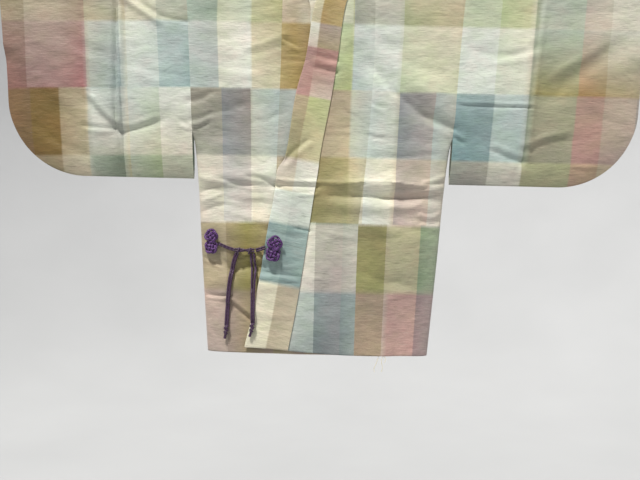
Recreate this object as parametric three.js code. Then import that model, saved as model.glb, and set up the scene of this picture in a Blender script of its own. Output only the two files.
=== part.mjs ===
// A dochugi coat hung closed on a straight kimono hanger.
// Millimetres, +Z up. The front faces -Y and the wearer's left is +X.
// The origin is the point where the hook of the hanger bears on its rail.
// Each cloth piece is the middle face of its cloth, thickened by half a wall to each side.
import * as THREE from "three";

// Cloth and seams
const CLOTH_WALL = 1.6;
const BAND_WALL = 3.2;
const SEAM_GAP = 0.36;
const NECK_GAP = 0.55;
const HALF_GAP = SEAM_GAP / 2;
const LAP = 5;
const BAND_PROUD = (BAND_WALL - CLOTH_WALL) / 2;

// Hanger
const ROD_RADIUS = 8;
const ROD_HALF_LENGTH = 640;
const ROD_SIDES = 20;
const ROD_CLEARANCE = 0.65;
const SHOULDER_TOP = -120;
const BEND = ROD_RADIUS + ROD_CLEARANCE + CLOTH_WALL / 2;
const ROD_Z = SHOULDER_TOP - CLOTH_WALL / 2 - BEND;
const QUARTER_BEND = (BEND * Math.PI) / 2;
const HOOK_WIRE = 5;
const HOOK_RADIUS = 20;
const HOOK_SIDES = 8;
const HOOK_STEPS = 14;
const HOOK_FROM = -52;
const HOOK_TO = 205;

// Cord
const CORD_DIAMETER = 4.5;
const CORD_SIDES = 6;
const CORD_STEP = 11;
const CORD_CLEARANCE = 0.5;
const TWIN_PITCH = 5;
const TWIN_STRANDS = [
  { end: "_a", aside: TWIN_PITCH / 2 },
  { end: "_b", aside: -TWIN_PITCH / 2 },
];
const ONE_STRAND = [{ end: "", aside: 0 }];

// Where the sleeve ends and the side of the body closes
const HEM_Z = -950;
const ATTACH_END = -512;
const SIDE_CLOSED = -546;
const EDGE_HALF_DEPTH = 10;

// Half width of the body, and half depth of its front and back at the middle, by height
const BODY = [
  { z: -950, half: 217, front: 33, back: 26 },
  { z: -760, half: 233, front: 28, back: 23 },
  { z: -608, half: 245, front: 21, back: 18 },
  { z: -546, half: 252.5, front: 17.5, back: 15.5 },
  { z: -512, half: 259.5, front: 15.5, back: 14 },
  { z: -441, half: 264, front: 14, back: 13 },
  { z: -300, half: 273, front: 12, back: 11.5 },
  { z: -131, half: 285, front: BEND, back: BEND },
  { z: -120, half: 285, front: BEND, back: BEND },
];

// Seams of the left front: panel to okumi, okumi to collar, the free edge of the collar,
// and how much higher the free edge lies than the seam across from it
const LEFT_LINES = [
  { z: -950, okumi: 71, seam: -57, free: -142, rise: 0 },
  { z: -819, okumi: 72, seam: -37, free: -118.5, rise: 0 },
  { z: -703, okumi: 74, seam: -22, free: -102, rise: 0 },
  { z: -640, okumi: 80, seam: -14, free: -92, rise: 0 },
  { z: -592, okumi: 85, seam: -7, free: -87, rise: 0 },
  { z: -566, okumi: 87.5, seam: -4.5, free: -73, rise: 0 },
  { z: -441, okumi: 96, seam: 16, free: -55, rise: 0 },
  { z: -368, okumi: 99, seam: 26, free: -37, rise: 0 },
  { z: -262, okumi: 99, seam: 39, free: -21, rise: 0 },
  { z: -220, okumi: 90, seam: 55, free: -1, rise: 14 },
  { z: -178, okumi: 72.8, seam: 71, free: 14, rise: 22 },
];
const RIGHT_LINES = [
  { z: -950, okumi: -86, seam: 39, free: 120, rise: 0 },
  { z: -819, okumi: -87, seam: 22, free: 101, rise: 0 },
  { z: -703, okumi: -88, seam: 8, free: 86, rise: 0 },
  { z: -592, okumi: -89, seam: 3, free: 73, rise: 0 },
  { z: -441, okumi: -87, seam: -8, free: 54, rise: 0 },
  { z: -368, okumi: -86, seam: -17, free: 44, rise: 0 },
  { z: -262, okumi: -86, seam: -31, free: 28, rise: 0 },
  { z: -220, okumi: -84, seam: -53, free: 4, rise: 14 },
  { z: -178, okumi: -72.8, seam: -71, free: -14, rise: 22 },
];

// The neck edge of a body panel, by its way over the shoulder from front to back,
// and the free edge of the collar across from it
const NECK = [
  { over: -39.5, seam: 78, freeX: 27, freeY: -11.6, freeZ: -128 },
  { over: -22.5, seam: 84, freeX: 40, freeY: -11, freeZ: -105 },
  { over: -QUARTER_BEND, seam: 87, freeX: 47, freeY: -9.4, freeZ: -95 },
  { over: -QUARTER_BEND * (2 / 3), seam: 89, freeX: 52, freeY: -6.8, freeZ: -88.5 },
  { over: -QUARTER_BEND / 3, seam: 89.8, freeX: 56, freeY: -3.5, freeZ: -83.5 },
  { over: 0, seam: 90, freeX: 58.5, freeY: 0, freeZ: -80 },
  { over: QUARTER_BEND / 3, seam: 89.2, freeX: 58, freeY: 4, freeZ: -78 },
  { over: QUARTER_BEND * (2 / 3), seam: 86, freeX: 55, freeY: 8, freeZ: -76.8 },
  { over: QUARTER_BEND, seam: 78, freeX: 49, freeY: 11, freeZ: -76 },
  { over: 17, seam: 55, freeX: 35, freeY: 13.5, freeZ: -75.5 },
  { over: 19, seam: 28, freeX: 17, freeY: 14.6, freeZ: -75 },
  { over: 19.5, seam: HALF_GAP, freeX: HALF_GAP, freeY: 15, freeZ: -75 },
];

// Heights of the rows that the pieces of a front share at their seams, hem first
const FRONT_ROWS = [
  { from: -950, to: -925, steps: 1 },
  { from: -925, to: -808, steps: 4 },
  { from: -808, to: -677, steps: 7 },
  { from: -677, to: -592, steps: 7 },
  { from: -592, to: -566, steps: 2 },
  { from: -566, to: -512, steps: 3 },
  { from: -512, to: -432, steps: 3 },
  { from: -432, to: -262, steps: 5 },
  { from: -262, to: -178, steps: 3 },
];
const BACK_ROWS = [
  { from: -150, to: -210, steps: 2 },
  { from: -210, to: -512, steps: 7 },
  { from: -512, to: -546, steps: 2 },
  { from: -546, to: -592, steps: 2 },
  { from: -592, to: -664, steps: 5 },
  { from: -664, to: -950, steps: 7 },
];
const PANEL_COLUMNS = [0, 0.17, 0.34, 0.51, 0.68, 0.82, 0.92, 0.98, 1];
const OKUMI_STEPS = 4;
const BAND_STEPS = 4;

// Sleeve
const SLEEVE_WIDTH_TOP = 375;
const SLEEVE_WIDTH_LOW = 366;
const SLEEVE_BOTTOM = -610;
const SLEEVE_CORNER = 150;
const CORNER_Z = SLEEVE_BOTTOM + SLEEVE_CORNER;
const MOUTH_END = -350;
const MOUTH_BLEND = 36;
const BAG_EDGE = 1;
const BAG_SLOPE = 46;
const SLEEVE_INNER_COLUMNS = [0, 0.18, 0.36, 0.54, 0.68, 0.82];
const CORNER_STEPS = 6;
const SLEEVE_FOOT_ROWS = [{ from: -610, to: -536, steps: 3 }];
const SLEEVE_BACK_FOOT = -578;
const SLEEVE_BEND_STEPS = 6;
const SLEEVE = [
  { z: -610, inner: 254.5, deep: 8 },
  { z: -546, inner: 257.6, deep: 9.8 },
  { z: -512, inner: 259.5, deep: 10.5 },
  { z: -441, inner: 264, deep: 11.5 },
  { z: -300, inner: 273, deep: 10.5 },
  { z: -131, inner: 285, deep: BEND },
  { z: -120, inner: 285, deep: BEND },
];

// How far the left front's hem lifts at its free corner
const HEM_LIFT = 11;
const HEM_LIFT_FADE = 70;

// Soft folds of the front: from one point to another, their half breadth, and how far
// the cloth stands out along them. A trough stands in, so it is negative.
const FRONT_FOLDS = [
  { x1: 98, z1: -388, x2: 202, z2: -467, breadth: 22, out: -4.5 },
  { x1: 202, z1: -467, x2: 252, z2: -508, breadth: 17, out: -3.5 },
  { x1: 128, z1: -376, x2: 236, z2: -452, breadth: 24, out: 3 },
  { x1: 52, z1: -614, x2: 142, z2: -613, breadth: 13, out: 4 },
  { x1: 150, z1: -606, x2: 232, z2: -626, breadth: 13, out: 4.5 },
  { x1: 40, z1: -638, x2: 230, z2: -643, breadth: 12, out: -4.5 },
  { x1: 60, z1: -660, x2: 220, z2: -656, breadth: 12, out: 2.5 },
  { x1: 30, z1: -679, x2: 216, z2: -682, breadth: 14, out: -3 },
  { x1: -225, z1: -611, x2: -110, z2: -603, breadth: 13, out: 3.5 },
  { x1: -222, z1: -634, x2: -100, z2: -627, breadth: 12, out: -4 },
  { x1: -215, z1: -671, x2: -105, z2: -662, breadth: 14, out: -3 },
  { x1: -212, z1: -706, x2: -100, z2: -722, breadth: 17, out: 3 },
  { x1: -196, z1: -777, x2: -108, z2: -786, breadth: 16, out: -4.5 },
  { x1: -204, z1: -812, x2: -118, z2: -816, breadth: 17, out: 3 },
  { x1: -205, z1: -843, x2: -140, z2: -884, breadth: 15, out: -4 },
  { x1: 130, z1: -770, x2: 168, z2: -930, breadth: 30, out: -4 },
  { x1: -20, z1: -800, x2: -34, z2: -940, breadth: 34, out: 3.5 },
  { x1: -462, z1: -471, x2: -416, z2: -514, breadth: 17, out: -2.5 },
  { x1: -340, z1: -500, x2: -399, z2: -524, breadth: 17, out: -2.5 },
  { x1: -418, z1: -293, x2: -406, z2: -560, breadth: 16, out: 2.2 },
  { x1: -399, z1: -254, x2: -336, z2: -293, breadth: 18, out: 2.5 },
  { x1: 334, z1: -530, x2: 393, z2: -560, breadth: 17, out: -2.5 },
  { x1: 472, z1: -534, x2: 409, z2: -553, breadth: 17, out: -2.5 },
  { x1: 418, z1: -293, x2: 404, z2: -575, breadth: 16, out: 2.2 },
  { x1: 566, z1: -343, x2: 478, z2: -412, breadth: 24, out: -3.5 },
];
const BACK_FOLDS = [
  { x1: -150, z1: -390, x2: -248, z2: -500, breadth: 24, out: -3.5 },
  { x1: 140, z1: -400, x2: 246, z2: -504, breadth: 22, out: -4 },
  { x1: -215, z1: -618, x2: -30, z2: -608, breadth: 16, out: 3 },
  { x1: -220, z1: -642, x2: 60, z2: -636, breadth: 15, out: -3.5 },
  { x1: 70, z1: -612, x2: 222, z2: -622, breadth: 16, out: 3.5 },
  { x1: 90, z1: -650, x2: 216, z2: -646, breadth: 15, out: -3 },
  { x1: -110, z1: -760, x2: -150, z2: -930, breadth: 32, out: -4 },
  { x1: 60, z1: -720, x2: 88, z2: -925, breadth: 34, out: -4 },
  { x1: 410, z1: -300, x2: 402, z2: -560, breadth: 20, out: 2.2 },
  { x1: -412, z1: -300, x2: -404, z2: -560, breadth: 20, out: 2.2 },
  { x1: -540, z1: -330, x2: -460, z2: -420, breadth: 24, out: -3 },
];
const FOLDS_START = -150;
const FOLDS_FULL = -200;

// Ties: the ornament knot of each side, the wrap that joins them, and the hanging ends
const ORNAMENTS = [
  { name: "ornament_knot_right", x: -213, z: -735, wide: 29, high: 51, tilt: 0, turn: -11 },
  { name: "ornament_knot_left", x: -89, z: -746, wide: 32, high: 53, tilt: 8, turn: 0 },
];
const ORNAMENT_DEEP = 10;
const LOBES = [
  { at: -1, part: 0.3 },
  { at: -0.86, part: 0.74 },
  { at: -0.52, part: 1 },
  { at: -0.18, part: 0.8 },
  { at: 0, part: 0.66 },
  { at: 0.18, part: 0.8 },
  { at: 0.52, part: 1 },
  { at: 0.86, part: 0.74 },
  { at: 1, part: 0.3 },
];
const LOBE_SIDES = 10;
const WRAP = { x: -146, z: -750.5, wide: 38, high: 13, deep: 11 };
const END_KNOTS = [
  { name: "end_knot_right", x: -178.6, top: -899, tip: -924, lean: -3 },
  { name: "end_knot_left", x: -127.3, top: -892.5, tip: -918, lean: -5 },
];
const END_PROFILE = [
  { at: 0, part: 0.62 },
  { at: 0.08, part: 0.92 },
  { at: 0.26, part: 1 },
  { at: 0.42, part: 0.72 },
  { at: 0.5, part: 0.5 },
  { at: 0.8, part: 0.5 },
  { at: 1, part: 0.36 },
];
const END_KNOT_WIDE = 10;
// Routes as seen from the front. A twin route is followed by two cords side by side.
const CORDS = [
  {
    name: "tie_right",
    twin: true,
    route: [
      { x: -199.5, z: -738.5 },
      { x: -181, z: -746 },
      { x: -166.2, z: -750.5 },
    ],
  },
  {
    name: "tie_left",
    twin: true,
    route: [
      { x: -124.4, z: -750 },
      { x: -117, z: -748 },
      { x: -106, z: -743.5 },
    ],
  },
  {
    name: "tail_right",
    twin: true,
    route: [
      { x: -161.5, z: -756.4 },
      { x: -166.5, z: -770 },
      { x: -172, z: -798 },
      { x: -176.5, z: -839 },
      { x: -178.6, z: -898.4 },
    ],
  },
  {
    name: "tail_left_inner",
    route: [
      { x: -128.7, z: -756.4 },
      { x: -126, z: -775 },
      { x: -124.5, z: -792 },
      { x: -125.5, z: -839 },
      { x: -125, z: -872 },
      { x: -124.7, z: -892 },
    ],
  },
  {
    name: "tail_left_outer",
    route: [
      { x: -134.4, z: -756.4 },
      { x: -132.8, z: -775 },
      { x: -131.8, z: -792 },
      { x: -130.9, z: -839 },
      { x: -130.1, z: -872 },
      { x: -129.9, z: -892 },
    ],
  },
];

const COLOURS = {
  panel: 0xb9b4a2,
  okumi: 0xc4bda8,
  collar: 0xaab8ae,
  sleeve: 0xb4b39e,
  cord: 0x4b2a73,
  rod: 0xe6dfd2,
  hook: 0xbcbcc0,
};

const group = new THREE.Group();
group.name = "dochugi_coat_on_hanger";

// Adds a closed mesh as a named piece, its faces turned outwards.
function addPiece(name, geometry, colour, roughness = 0.8) {
  const index = Array.from(geometry.index.array);
  if (signedVolume(geometry) < 0) {
    for (let i = 0; i < index.length; i += 3) {
      [index[i + 1], index[i + 2]] = [index[i + 2], index[i + 1]];
    }
    geometry.setIndex(index);
  }
  geometry.computeVertexNormals();
  const material = new THREE.MeshStandardMaterial({ color: colour, roughness });
  const mesh = new THREE.Mesh(geometry, material);
  mesh.name = name;
  group.add(mesh);
}

function signedVolume(geometry) {
  const at = geometry.attributes.position;
  const index = geometry.index.array;
  const a = new THREE.Vector3();
  const b = new THREE.Vector3();
  const c = new THREE.Vector3();
  let volume = 0;
  for (let i = 0; i < index.length; i += 3) {
    a.fromBufferAttribute(at, index[i]);
    b.fromBufferAttribute(at, index[i + 1]);
    c.fromBufferAttribute(at, index[i + 2]);
    volume += a.dot(b.cross(c)) / 6;
  }
  return volume;
}

function smooth(from, to, value) {
  const t = Math.min(1, Math.max(0, (value - from) / (to - from)));
  return t * t * (3 - 2 * t);
}

function mix(a, b, t) {
  return a + (b - a) * t;
}

// A smooth curve through one column of a table whose rows rise by z, level past its ends.
function curveAt(rows, key, z) {
  const last = rows.length - 1;
  if (z <= rows[0].z) return rows[0][key];
  if (z >= rows[last].z) return rows[last][key];
  const slope = (a) => (rows[a + 1][key] - rows[a][key]) / (rows[a + 1].z - rows[a].z);
  const bend = (a) => {
    if (a === 0) return slope(0);
    if (a === last) return slope(last - 1);
    const before = slope(a - 1);
    const after = slope(a);
    return before * after <= 0 ? 0 : (2 * before * after) / (before + after);
  };
  let i = 0;
  while (rows[i + 1].z < z) i++;
  const step = rows[i + 1].z - rows[i].z;
  const t = (z - rows[i].z) / step;
  return (
    rows[i][key] * (1 + 2 * t) * (1 - t) ** 2 +
    rows[i + 1][key] * t * t * (3 - 2 * t) +
    step * (bend(i) * t * (1 - t) ** 2 - bend(i + 1) * t * t * (1 - t))
  );
}

// How far the folds of one face stand out at a point.
function foldAt(folds, x, z) {
  let out = 0;
  for (const fold of folds) {
    const runX = fold.x2 - fold.x1;
    const runZ = fold.z2 - fold.z1;
    const length = Math.hypot(runX, runZ);
    const along = ((x - fold.x1) * runX + (z - fold.z1) * runZ) / length;
    const across = ((x - fold.x1) * runZ - (z - fold.z1) * runX) / length;
    const past = Math.max(0, -along, along - length);
    const span = fold.breadth * 2.4;
    const near = (across / fold.breadth) ** 2 + (past / span) ** 2;
    if (near < 9) out += fold.out * Math.exp(-near);
  }
  return out * (1 - smooth(FOLDS_FULL, FOLDS_START, z));
}

// Half depth of the body: from the plane of its side seams out to the middle of the cloth.
function bodyHalfDepth(x, z, face) {
  const reach = Math.abs(x) / curveAt(BODY, "half", z);
  const full = curveAt(BODY, face < 0 ? "front" : "back", z);
  const closed = 1 - smooth(SIDE_CLOSED, ATTACH_END, z);
  const edge = mix(mix(BEND, EDGE_HALF_DEPTH, smooth(-130, -300, z)), HALF_GAP, closed);
  const round = (1 - Math.min(reach, 1) ** 4) ** 0.25;
  const flat = 1 - reach * reach;
  const folds = foldAt(face < 0 ? FRONT_FOLDS : BACK_FOLDS, x, z);
  const hold = mix(1, round, closed);
  return edge + (full - edge) * mix(flat, round, closed) + folds * hold;
}

// How far the left front stands off the right front beneath it.
function lapAt(x, z) {
  const under = curveAt(RIGHT_LINES, "free", z);
  return LAP * (1 - smooth(under + 4, under + 44, x)) * (1 - smooth(-195, -145, z));
}

// The middle of a body cloth. over runs from the front hem over the shoulder to the back,
// and is nought at the top of the rod. outward moves the point off that middle.
function bodyPoint(x, over, outward = 0, lap = false) {
  if (Math.abs(over) <= QUARTER_BEND) {
    const turn = over / BEND;
    const radius = BEND + outward;
    return new THREE.Vector3(x, radius * Math.sin(turn), ROD_Z + radius * Math.cos(turn));
  }
  const face = Math.sign(over);
  const z = heightOf(over);
  const lift = lap && face < 0 ? lapAt(x, z) : 0;
  return new THREE.Vector3(x, face * (bodyHalfDepth(x, z, face) + lift + outward), z);
}

function heightOf(over) {
  return ROD_Z - (Math.abs(over) - QUARTER_BEND);
}

function overOf(z, face) {
  return face * (QUARTER_BEND + ROD_Z - z);
}

// Lists the heights that a table of runs stands for.
function heightsOf(runs) {
  const heights = [runs[0].from];
  for (const run of runs) {
    for (let i = 1; i <= run.steps; i++) {
      heights.push(mix(run.from, run.to, i / run.steps));
    }
  }
  return heights;
}

// The left front's hem rises towards its free corner.
function hemLift(x, z) {
  const across = 1 - smooth(-142, 70, x);
  return HEM_LIFT * across * (1 - smooth(HEM_Z, HEM_Z + HEM_LIFT_FADE, z));
}

// Closes a grid of middle points into a wall. fixNormal may correct a normal at a seam.
function wallGeometry(grid, wall, fixNormal) {
  const rows = grid.length;
  const columns = grid[0].length;
  const positions = [];
  const index = [];
  const at = (i, j) => {
    const row = grid[THREE.MathUtils.clamp(i, 0, rows - 1)];
    return row[THREE.MathUtils.clamp(j, 0, columns - 1)];
  };
  for (const side of [1, -1]) {
    for (let i = 0; i < rows; i++) {
      for (let j = 0; j < columns; j++) {
        const down = at(i + 1, j).clone().sub(at(i - 1, j));
        const across = at(i, j + 1).clone().sub(at(i, j - 1));
        const normal = down.cross(across).normalize();
        if (fixNormal) fixNormal(normal, i, j, grid[i][j]);
        const p = grid[i][j].clone().addScaledVector(normal, (side * wall) / 2);
        positions.push(p.x, p.y, p.z);
      }
    }
  }
  const id = (side, i, j) => side * rows * columns + i * columns + j;
  for (let i = 0; i + 1 < rows; i++) {
    for (let j = 0; j + 1 < columns; j++) {
      const diagonal = at(i, j).distanceTo(at(i + 1, j + 1));
      const otherDiagonal = at(i + 1, j).distanceTo(at(i, j + 1));
      const corners = [id(0, i, j), id(0, i + 1, j), id(0, i + 1, j + 1), id(0, i, j + 1)];
      const order = diagonal <= otherDiagonal ? [0, 1, 2, 0, 2, 3] : [0, 1, 3, 1, 2, 3];
      const top = order.map((k) => corners[k]);
      const below = top.map((k) => k + rows * columns);
      for (let k = 0; k < 6; k += 3) {
        index.push(top[k], top[k + 1], top[k + 2]);
        index.push(below[k], below[k + 2], below[k + 1]);
      }
    }
  }
  const closeRim = (i1, j1, i2, j2) => {
    const a = id(0, i1, j1);
    const b = id(0, i2, j2);
    const c = id(1, i2, j2);
    const d = id(1, i1, j1);
    index.push(a, b, c, a, c, d);
  };
  for (let i = 0; i + 1 < rows; i++) {
    closeRim(i + 1, 0, i, 0);
    closeRim(i, columns - 1, i + 1, columns - 1);
  }
  for (let j = 0; j + 1 < columns; j++) {
    closeRim(0, j, 0, j + 1);
    closeRim(rows - 1, j + 1, rows - 1, j);
  }
  return closedGeometry(positions, index);
}

function closedGeometry(positions, index) {
  const geometry = new THREE.BufferGeometry();
  geometry.setAttribute("position", new THREE.Float32BufferAttribute(positions, 3));
  geometry.setIndex(index);
  return geometry;
}

// One body panel: from the front hem over the shoulder to the back hem.
function bodyPanel(side) {
  const lines = side > 0 ? LEFT_LINES : RIGHT_LINES;
  const rows = [];
  for (const z of heightsOf(FRONT_ROWS)) {
    rows.push({ over: overOf(z, -1), inner: side * curveAt(lines, "okumi", z) + HALF_GAP });
  }
  for (const row of NECK) rows.push({ over: row.over, inner: row.seam });
  for (const z of heightsOf(BACK_ROWS)) {
    rows.push({ over: overOf(z, 1), inner: HALF_GAP });
  }
  const grid = rows.map(({ over, inner }) => {
    const z = heightOf(over);
    const onBend = Math.abs(over) <= QUARTER_BEND;
    const outer = onBend ? BODY.at(-1).half - HALF_GAP : curveAt(BODY, "half", z) - sideGap(z);
    return PANEL_COLUMNS.map((part) => {
      const x = side * mix(inner, outer, part);
      const raised = side > 0 && over < 0 && !onBend ? overOf(z + hemLift(x, z), -1) : over;
      return bodyPoint(x, raised, 0, side > 0);
    });
  });
  const lastColumn = PANEL_COLUMNS.length - 1;
  return wallGeometry(grid, CLOTH_WALL, (normal, i, j, point) => {
    if (j === 0 && rows[i].inner === HALF_GAP) normal.setX(0).normalize();
    if (j !== lastColumn) return;
    const closed = 1 - smooth(SIDE_CLOSED, ATTACH_END, point.z);
    normal.lerp(new THREE.Vector3(Math.sign(normal.x), 0, 0), closed).normalize();
  });
}

// The armhole edge keeps its gap in x. The side seam keeps it in y.
function sideGap(z) {
  return HALF_GAP * smooth(SIDE_CLOSED, ATTACH_END, z);
}

// An okumi: the long strip between a front panel and its collar.
function okumi(side) {
  const lines = side > 0 ? LEFT_LINES : RIGHT_LINES;
  const grid = heightsOf(FRONT_ROWS).map((z) => {
    const from = curveAt(lines, "seam", z) + side * HALF_GAP;
    const to = curveAt(lines, "okumi", z) - side * HALF_GAP;
    const points = [];
    for (let j = 0; j <= OKUMI_STEPS; j++) {
      const x = mix(from, to, j / OKUMI_STEPS);
      const height = side > 0 ? z + hemLift(x, z) : z;
      points.push(bodyPoint(x, overOf(height, -1), 0, side > 0));
    }
    return points;
  });
  return wallGeometry(grid, CLOTH_WALL);
}

// Half of the collar: from the hem up the front and round the neck to the middle of the back.
function collar(side) {
  const lines = side > 0 ? LEFT_LINES : RIGHT_LINES;
  const grid = heightsOf(FRONT_ROWS).map((z) => {
    const seam = curveAt(lines, "seam", z) - side * HALF_GAP;
    const free = curveAt(lines, "free", z);
    const rise = curveAt(lines, "rise", z);
    const points = [];
    for (let j = 0; j <= BAND_STEPS; j++) {
      const part = j / BAND_STEPS;
      const x = mix(seam, free, part);
      const height = z + rise * part + (side > 0 ? hemLift(x, z) : 0);
      points.push(bodyPoint(x, overOf(height, -1), BAND_PROUD, side > 0));
    }
    return points;
  });
  NECK.forEach((row, k) => {
    const before = NECK[Math.max(0, k - 1)];
    const after = NECK[Math.min(NECK.length - 1, k + 1)];
    const run = new THREE.Vector2(after.seam - before.seam, after.over - before.over).normalize();
    const seamX = Math.max(HALF_GAP, row.seam - NECK_GAP * run.y);
    const start = bodyPoint(side * seamX, row.over + NECK_GAP * run.x, BAND_PROUD, side > 0);
    const end = new THREE.Vector3(side * row.freeX, row.freeY, row.freeZ);
    const points = [];
    for (let j = 0; j <= BAND_STEPS; j++) {
      points.push(start.clone().lerp(end, j / BAND_STEPS));
    }
    grid.push(points);
  });
  return wallGeometry(grid, BAND_WALL, (normal, i) => {
    if (i === grid.length - 1) normal.setX(0).normalize();
  });
}

// How far inside the sleeve's sewn edge a point lies.
function insideSewnEdge(x, z, side) {
  const outer = sleeveInner(z) + sleeveWidth(z);
  const centre = outer - SLEEVE_CORNER;
  const reach = side * x;
  if (reach > centre && z < CORNER_Z) {
    return SLEEVE_CORNER - Math.hypot(reach - centre, z - CORNER_Z);
  }
  return Math.min(outer - reach, z - SLEEVE_BOTTOM);
}

// The sleeve's inner edge is the armhole as far down as the sleeve is sewn on.
function sleeveInner(z) {
  return curveAt(z >= ATTACH_END ? BODY : SLEEVE, z >= ATTACH_END ? "half" : "inner", z);
}

function sleeveWidth(z) {
  return mix(SLEEVE_WIDTH_TOP, SLEEVE_WIDTH_LOW, smooth(SHOULDER_TOP, CORNER_Z, z));
}

function sleeveHalfDepth(x, z, side, face) {
  const inside = insideSewnEdge(x, z, side);
  const ease = inside < BAG_SLOPE ? 1 - (1 - inside / BAG_SLOPE) ** 2 : 1;
  const open = smooth(MOUTH_END - MOUTH_BLEND, MOUTH_END, z);
  const fill = mix(ease, 1, open);
  const reach = (side * x - sleeveInner(z)) / sleeveWidth(z);
  const atSeam = mix(BEND, EDGE_HALF_DEPTH, smooth(-130, -300, z));
  const deep = mix(atSeam, curveAt(SLEEVE, "deep", z), smooth(0, 0.25, reach));
  const folds = foldAt(face < 0 ? FRONT_FOLDS : BACK_FOLDS, x, z);
  return BAG_EDGE + (deep + folds - BAG_EDGE) * fill;
}

// A sleeve: one length folded over the rod, sewn round its foot and up to the mouth.
function sleeve(side) {
  const straight = (SLEEVE_WIDTH_LOW - SLEEVE_CORNER) / SLEEVE_WIDTH_LOW;
  const columns = SLEEVE_INNER_COLUMNS.map((part) => {
    return { across: part * straight, foot: SLEEVE_BOTTOM };
  });
  for (let i = 0; i <= CORNER_STEPS; i++) {
    const angle = (Math.PI / 2) * (i / CORNER_STEPS);
    columns.push({
      across: straight + (1 - straight) * Math.sin(angle),
      foot: CORNER_Z - SLEEVE_CORNER * Math.cos(angle),
    });
  }
  const shared = heightsOf(FRONT_ROWS).filter((z) => z >= ATTACH_END);
  const shoulder = [heightOf(NECK[0].over), heightOf(NECK[1].over), ROD_Z];
  const front = [...heightsOf(SLEEVE_FOOT_ROWS), ...shared, ...shoulder];
  const aboveSide = heightsOf(BACK_ROWS).filter((z) => z >= SIDE_CLOSED);
  const back = [ROD_Z, ...aboveSide, SLEEVE_BACK_FOOT, SLEEVE_BOTTOM];
  const upOf = (z) => (z - SLEEVE_BOTTOM) / (ROD_Z - SLEEVE_BOTTOM);
  const rows = front.map((z) => ({ face: -1, up: upOf(z) }));
  for (let i = 1; i < SLEEVE_BEND_STEPS; i++) {
    rows.push({ face: 0, turn: mix(-QUARTER_BEND, QUARTER_BEND, i / SLEEVE_BEND_STEPS) });
  }
  for (const z of back) rows.push({ face: 1, up: upOf(z) });
  const grid = rows.map((row) =>
    columns.map((column) => {
      const z = row.face ? mix(column.foot, ROD_Z, row.up) : ROD_Z;
      const level = row.face ? z : SHOULDER_TOP;
      const x = side * (sleeveInner(level) + HALF_GAP + column.across * sleeveWidth(level));
      if (!row.face) return bodyPoint(x, row.turn);
      return new THREE.Vector3(x, row.face * sleeveHalfDepth(x, z, side, row.face), z);
    }),
  );
  return wallGeometry(grid, CLOTH_WALL);
}

// The outer face of the front at a point, collar and lap included.
function frontOuter(x, z) {
  const free = curveAt(LEFT_LINES, "free", z);
  const seam = curveAt(LEFT_LINES, "seam", z);
  const onLeft = x > free - 1.5 * CORD_DIAMETER;
  const band = onLeft && x < seam ? BAND_WALL - CLOTH_WALL : 0;
  const lap = onLeft ? lapAt(x, z) : 0;
  return -(bodyHalfDepth(x, z, -1) + lap + band + CLOTH_WALL / 2);
}

// The front face furthest out under a patch.
function frontUnder(x, z, halfWide, halfHigh) {
  let least = 0;
  for (let i = -2; i <= 2; i++) {
    for (let j = -2; j <= 2; j++) {
      least = Math.min(least, frontOuter(x + (i / 2) * halfWide, z + (j / 2) * halfHigh));
    }
  }
  return least;
}

// Rings of points joined into a closed body with flat ends.
function ringsGeometry(rings) {
  const sides = rings[0].length;
  const positions = [];
  const index = [];
  for (const p of rings.flat()) positions.push(p.x, p.y, p.z);
  for (let i = 0; i + 1 < rings.length; i++) {
    for (let j = 0; j < sides; j++) {
      const a = i * sides + j;
      const b = i * sides + ((j + 1) % sides);
      index.push(a, b, b + sides, a, b + sides, a + sides);
    }
  }
  const last = (rings.length - 1) * sides;
  for (let j = 1; j + 1 < sides; j++) {
    index.push(0, j + 1, j);
    index.push(last, last + j, last + j + 1);
  }
  return closedGeometry(positions, index);
}

// A round cord along a line of points, its ring turned as little as may be.
function tubeGeometry(points, radius, sides) {
  let previous = null;
  const rings = points.map((point, i) => {
    const ahead = points[Math.min(points.length - 1, i + 1)];
    const behind = points[Math.max(0, i - 1)];
    const tangent = ahead.clone().sub(behind).normalize();
    const up = previous || new THREE.Vector3(0, 1, 0.02);
    const first = up.clone().addScaledVector(tangent, -up.dot(tangent)).normalize();
    previous = first;
    const second = tangent.clone().cross(first);
    return Array.from({ length: sides }, (_, j) => {
      const angle = (2 * Math.PI * (j + 0.5)) / sides;
      return point
        .clone()
        .addScaledVector(first, radius * Math.cos(angle))
        .addScaledVector(second, radius * Math.sin(angle));
    });
  });
  return ringsGeometry(rings);
}

// The points of a cord that lies on the front along a route, moved sideways by aside.
function cordPoints(route, aside) {
  const stations = route.map(({ x, z }) => new THREE.Vector3(x, 0, z));
  const curve = new THREE.CatmullRomCurve3(stations);
  const steps = Math.max(2, Math.round(curve.getLength() / CORD_STEP));
  const lift = CORD_DIAMETER / 2 + CORD_CLEARANCE;
  return Array.from({ length: steps + 1 }, (_, i) => {
    const point = curve.getPointAt(i / steps);
    const tangent = curve.getTangentAt(i / steps);
    point.x += aside * tangent.z;
    point.z -= aside * tangent.x;
    point.y = frontUnder(point.x, point.z, CORD_DIAMETER / 2, CORD_STEP / 2) - lift;
    return point;
  });
}

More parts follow.
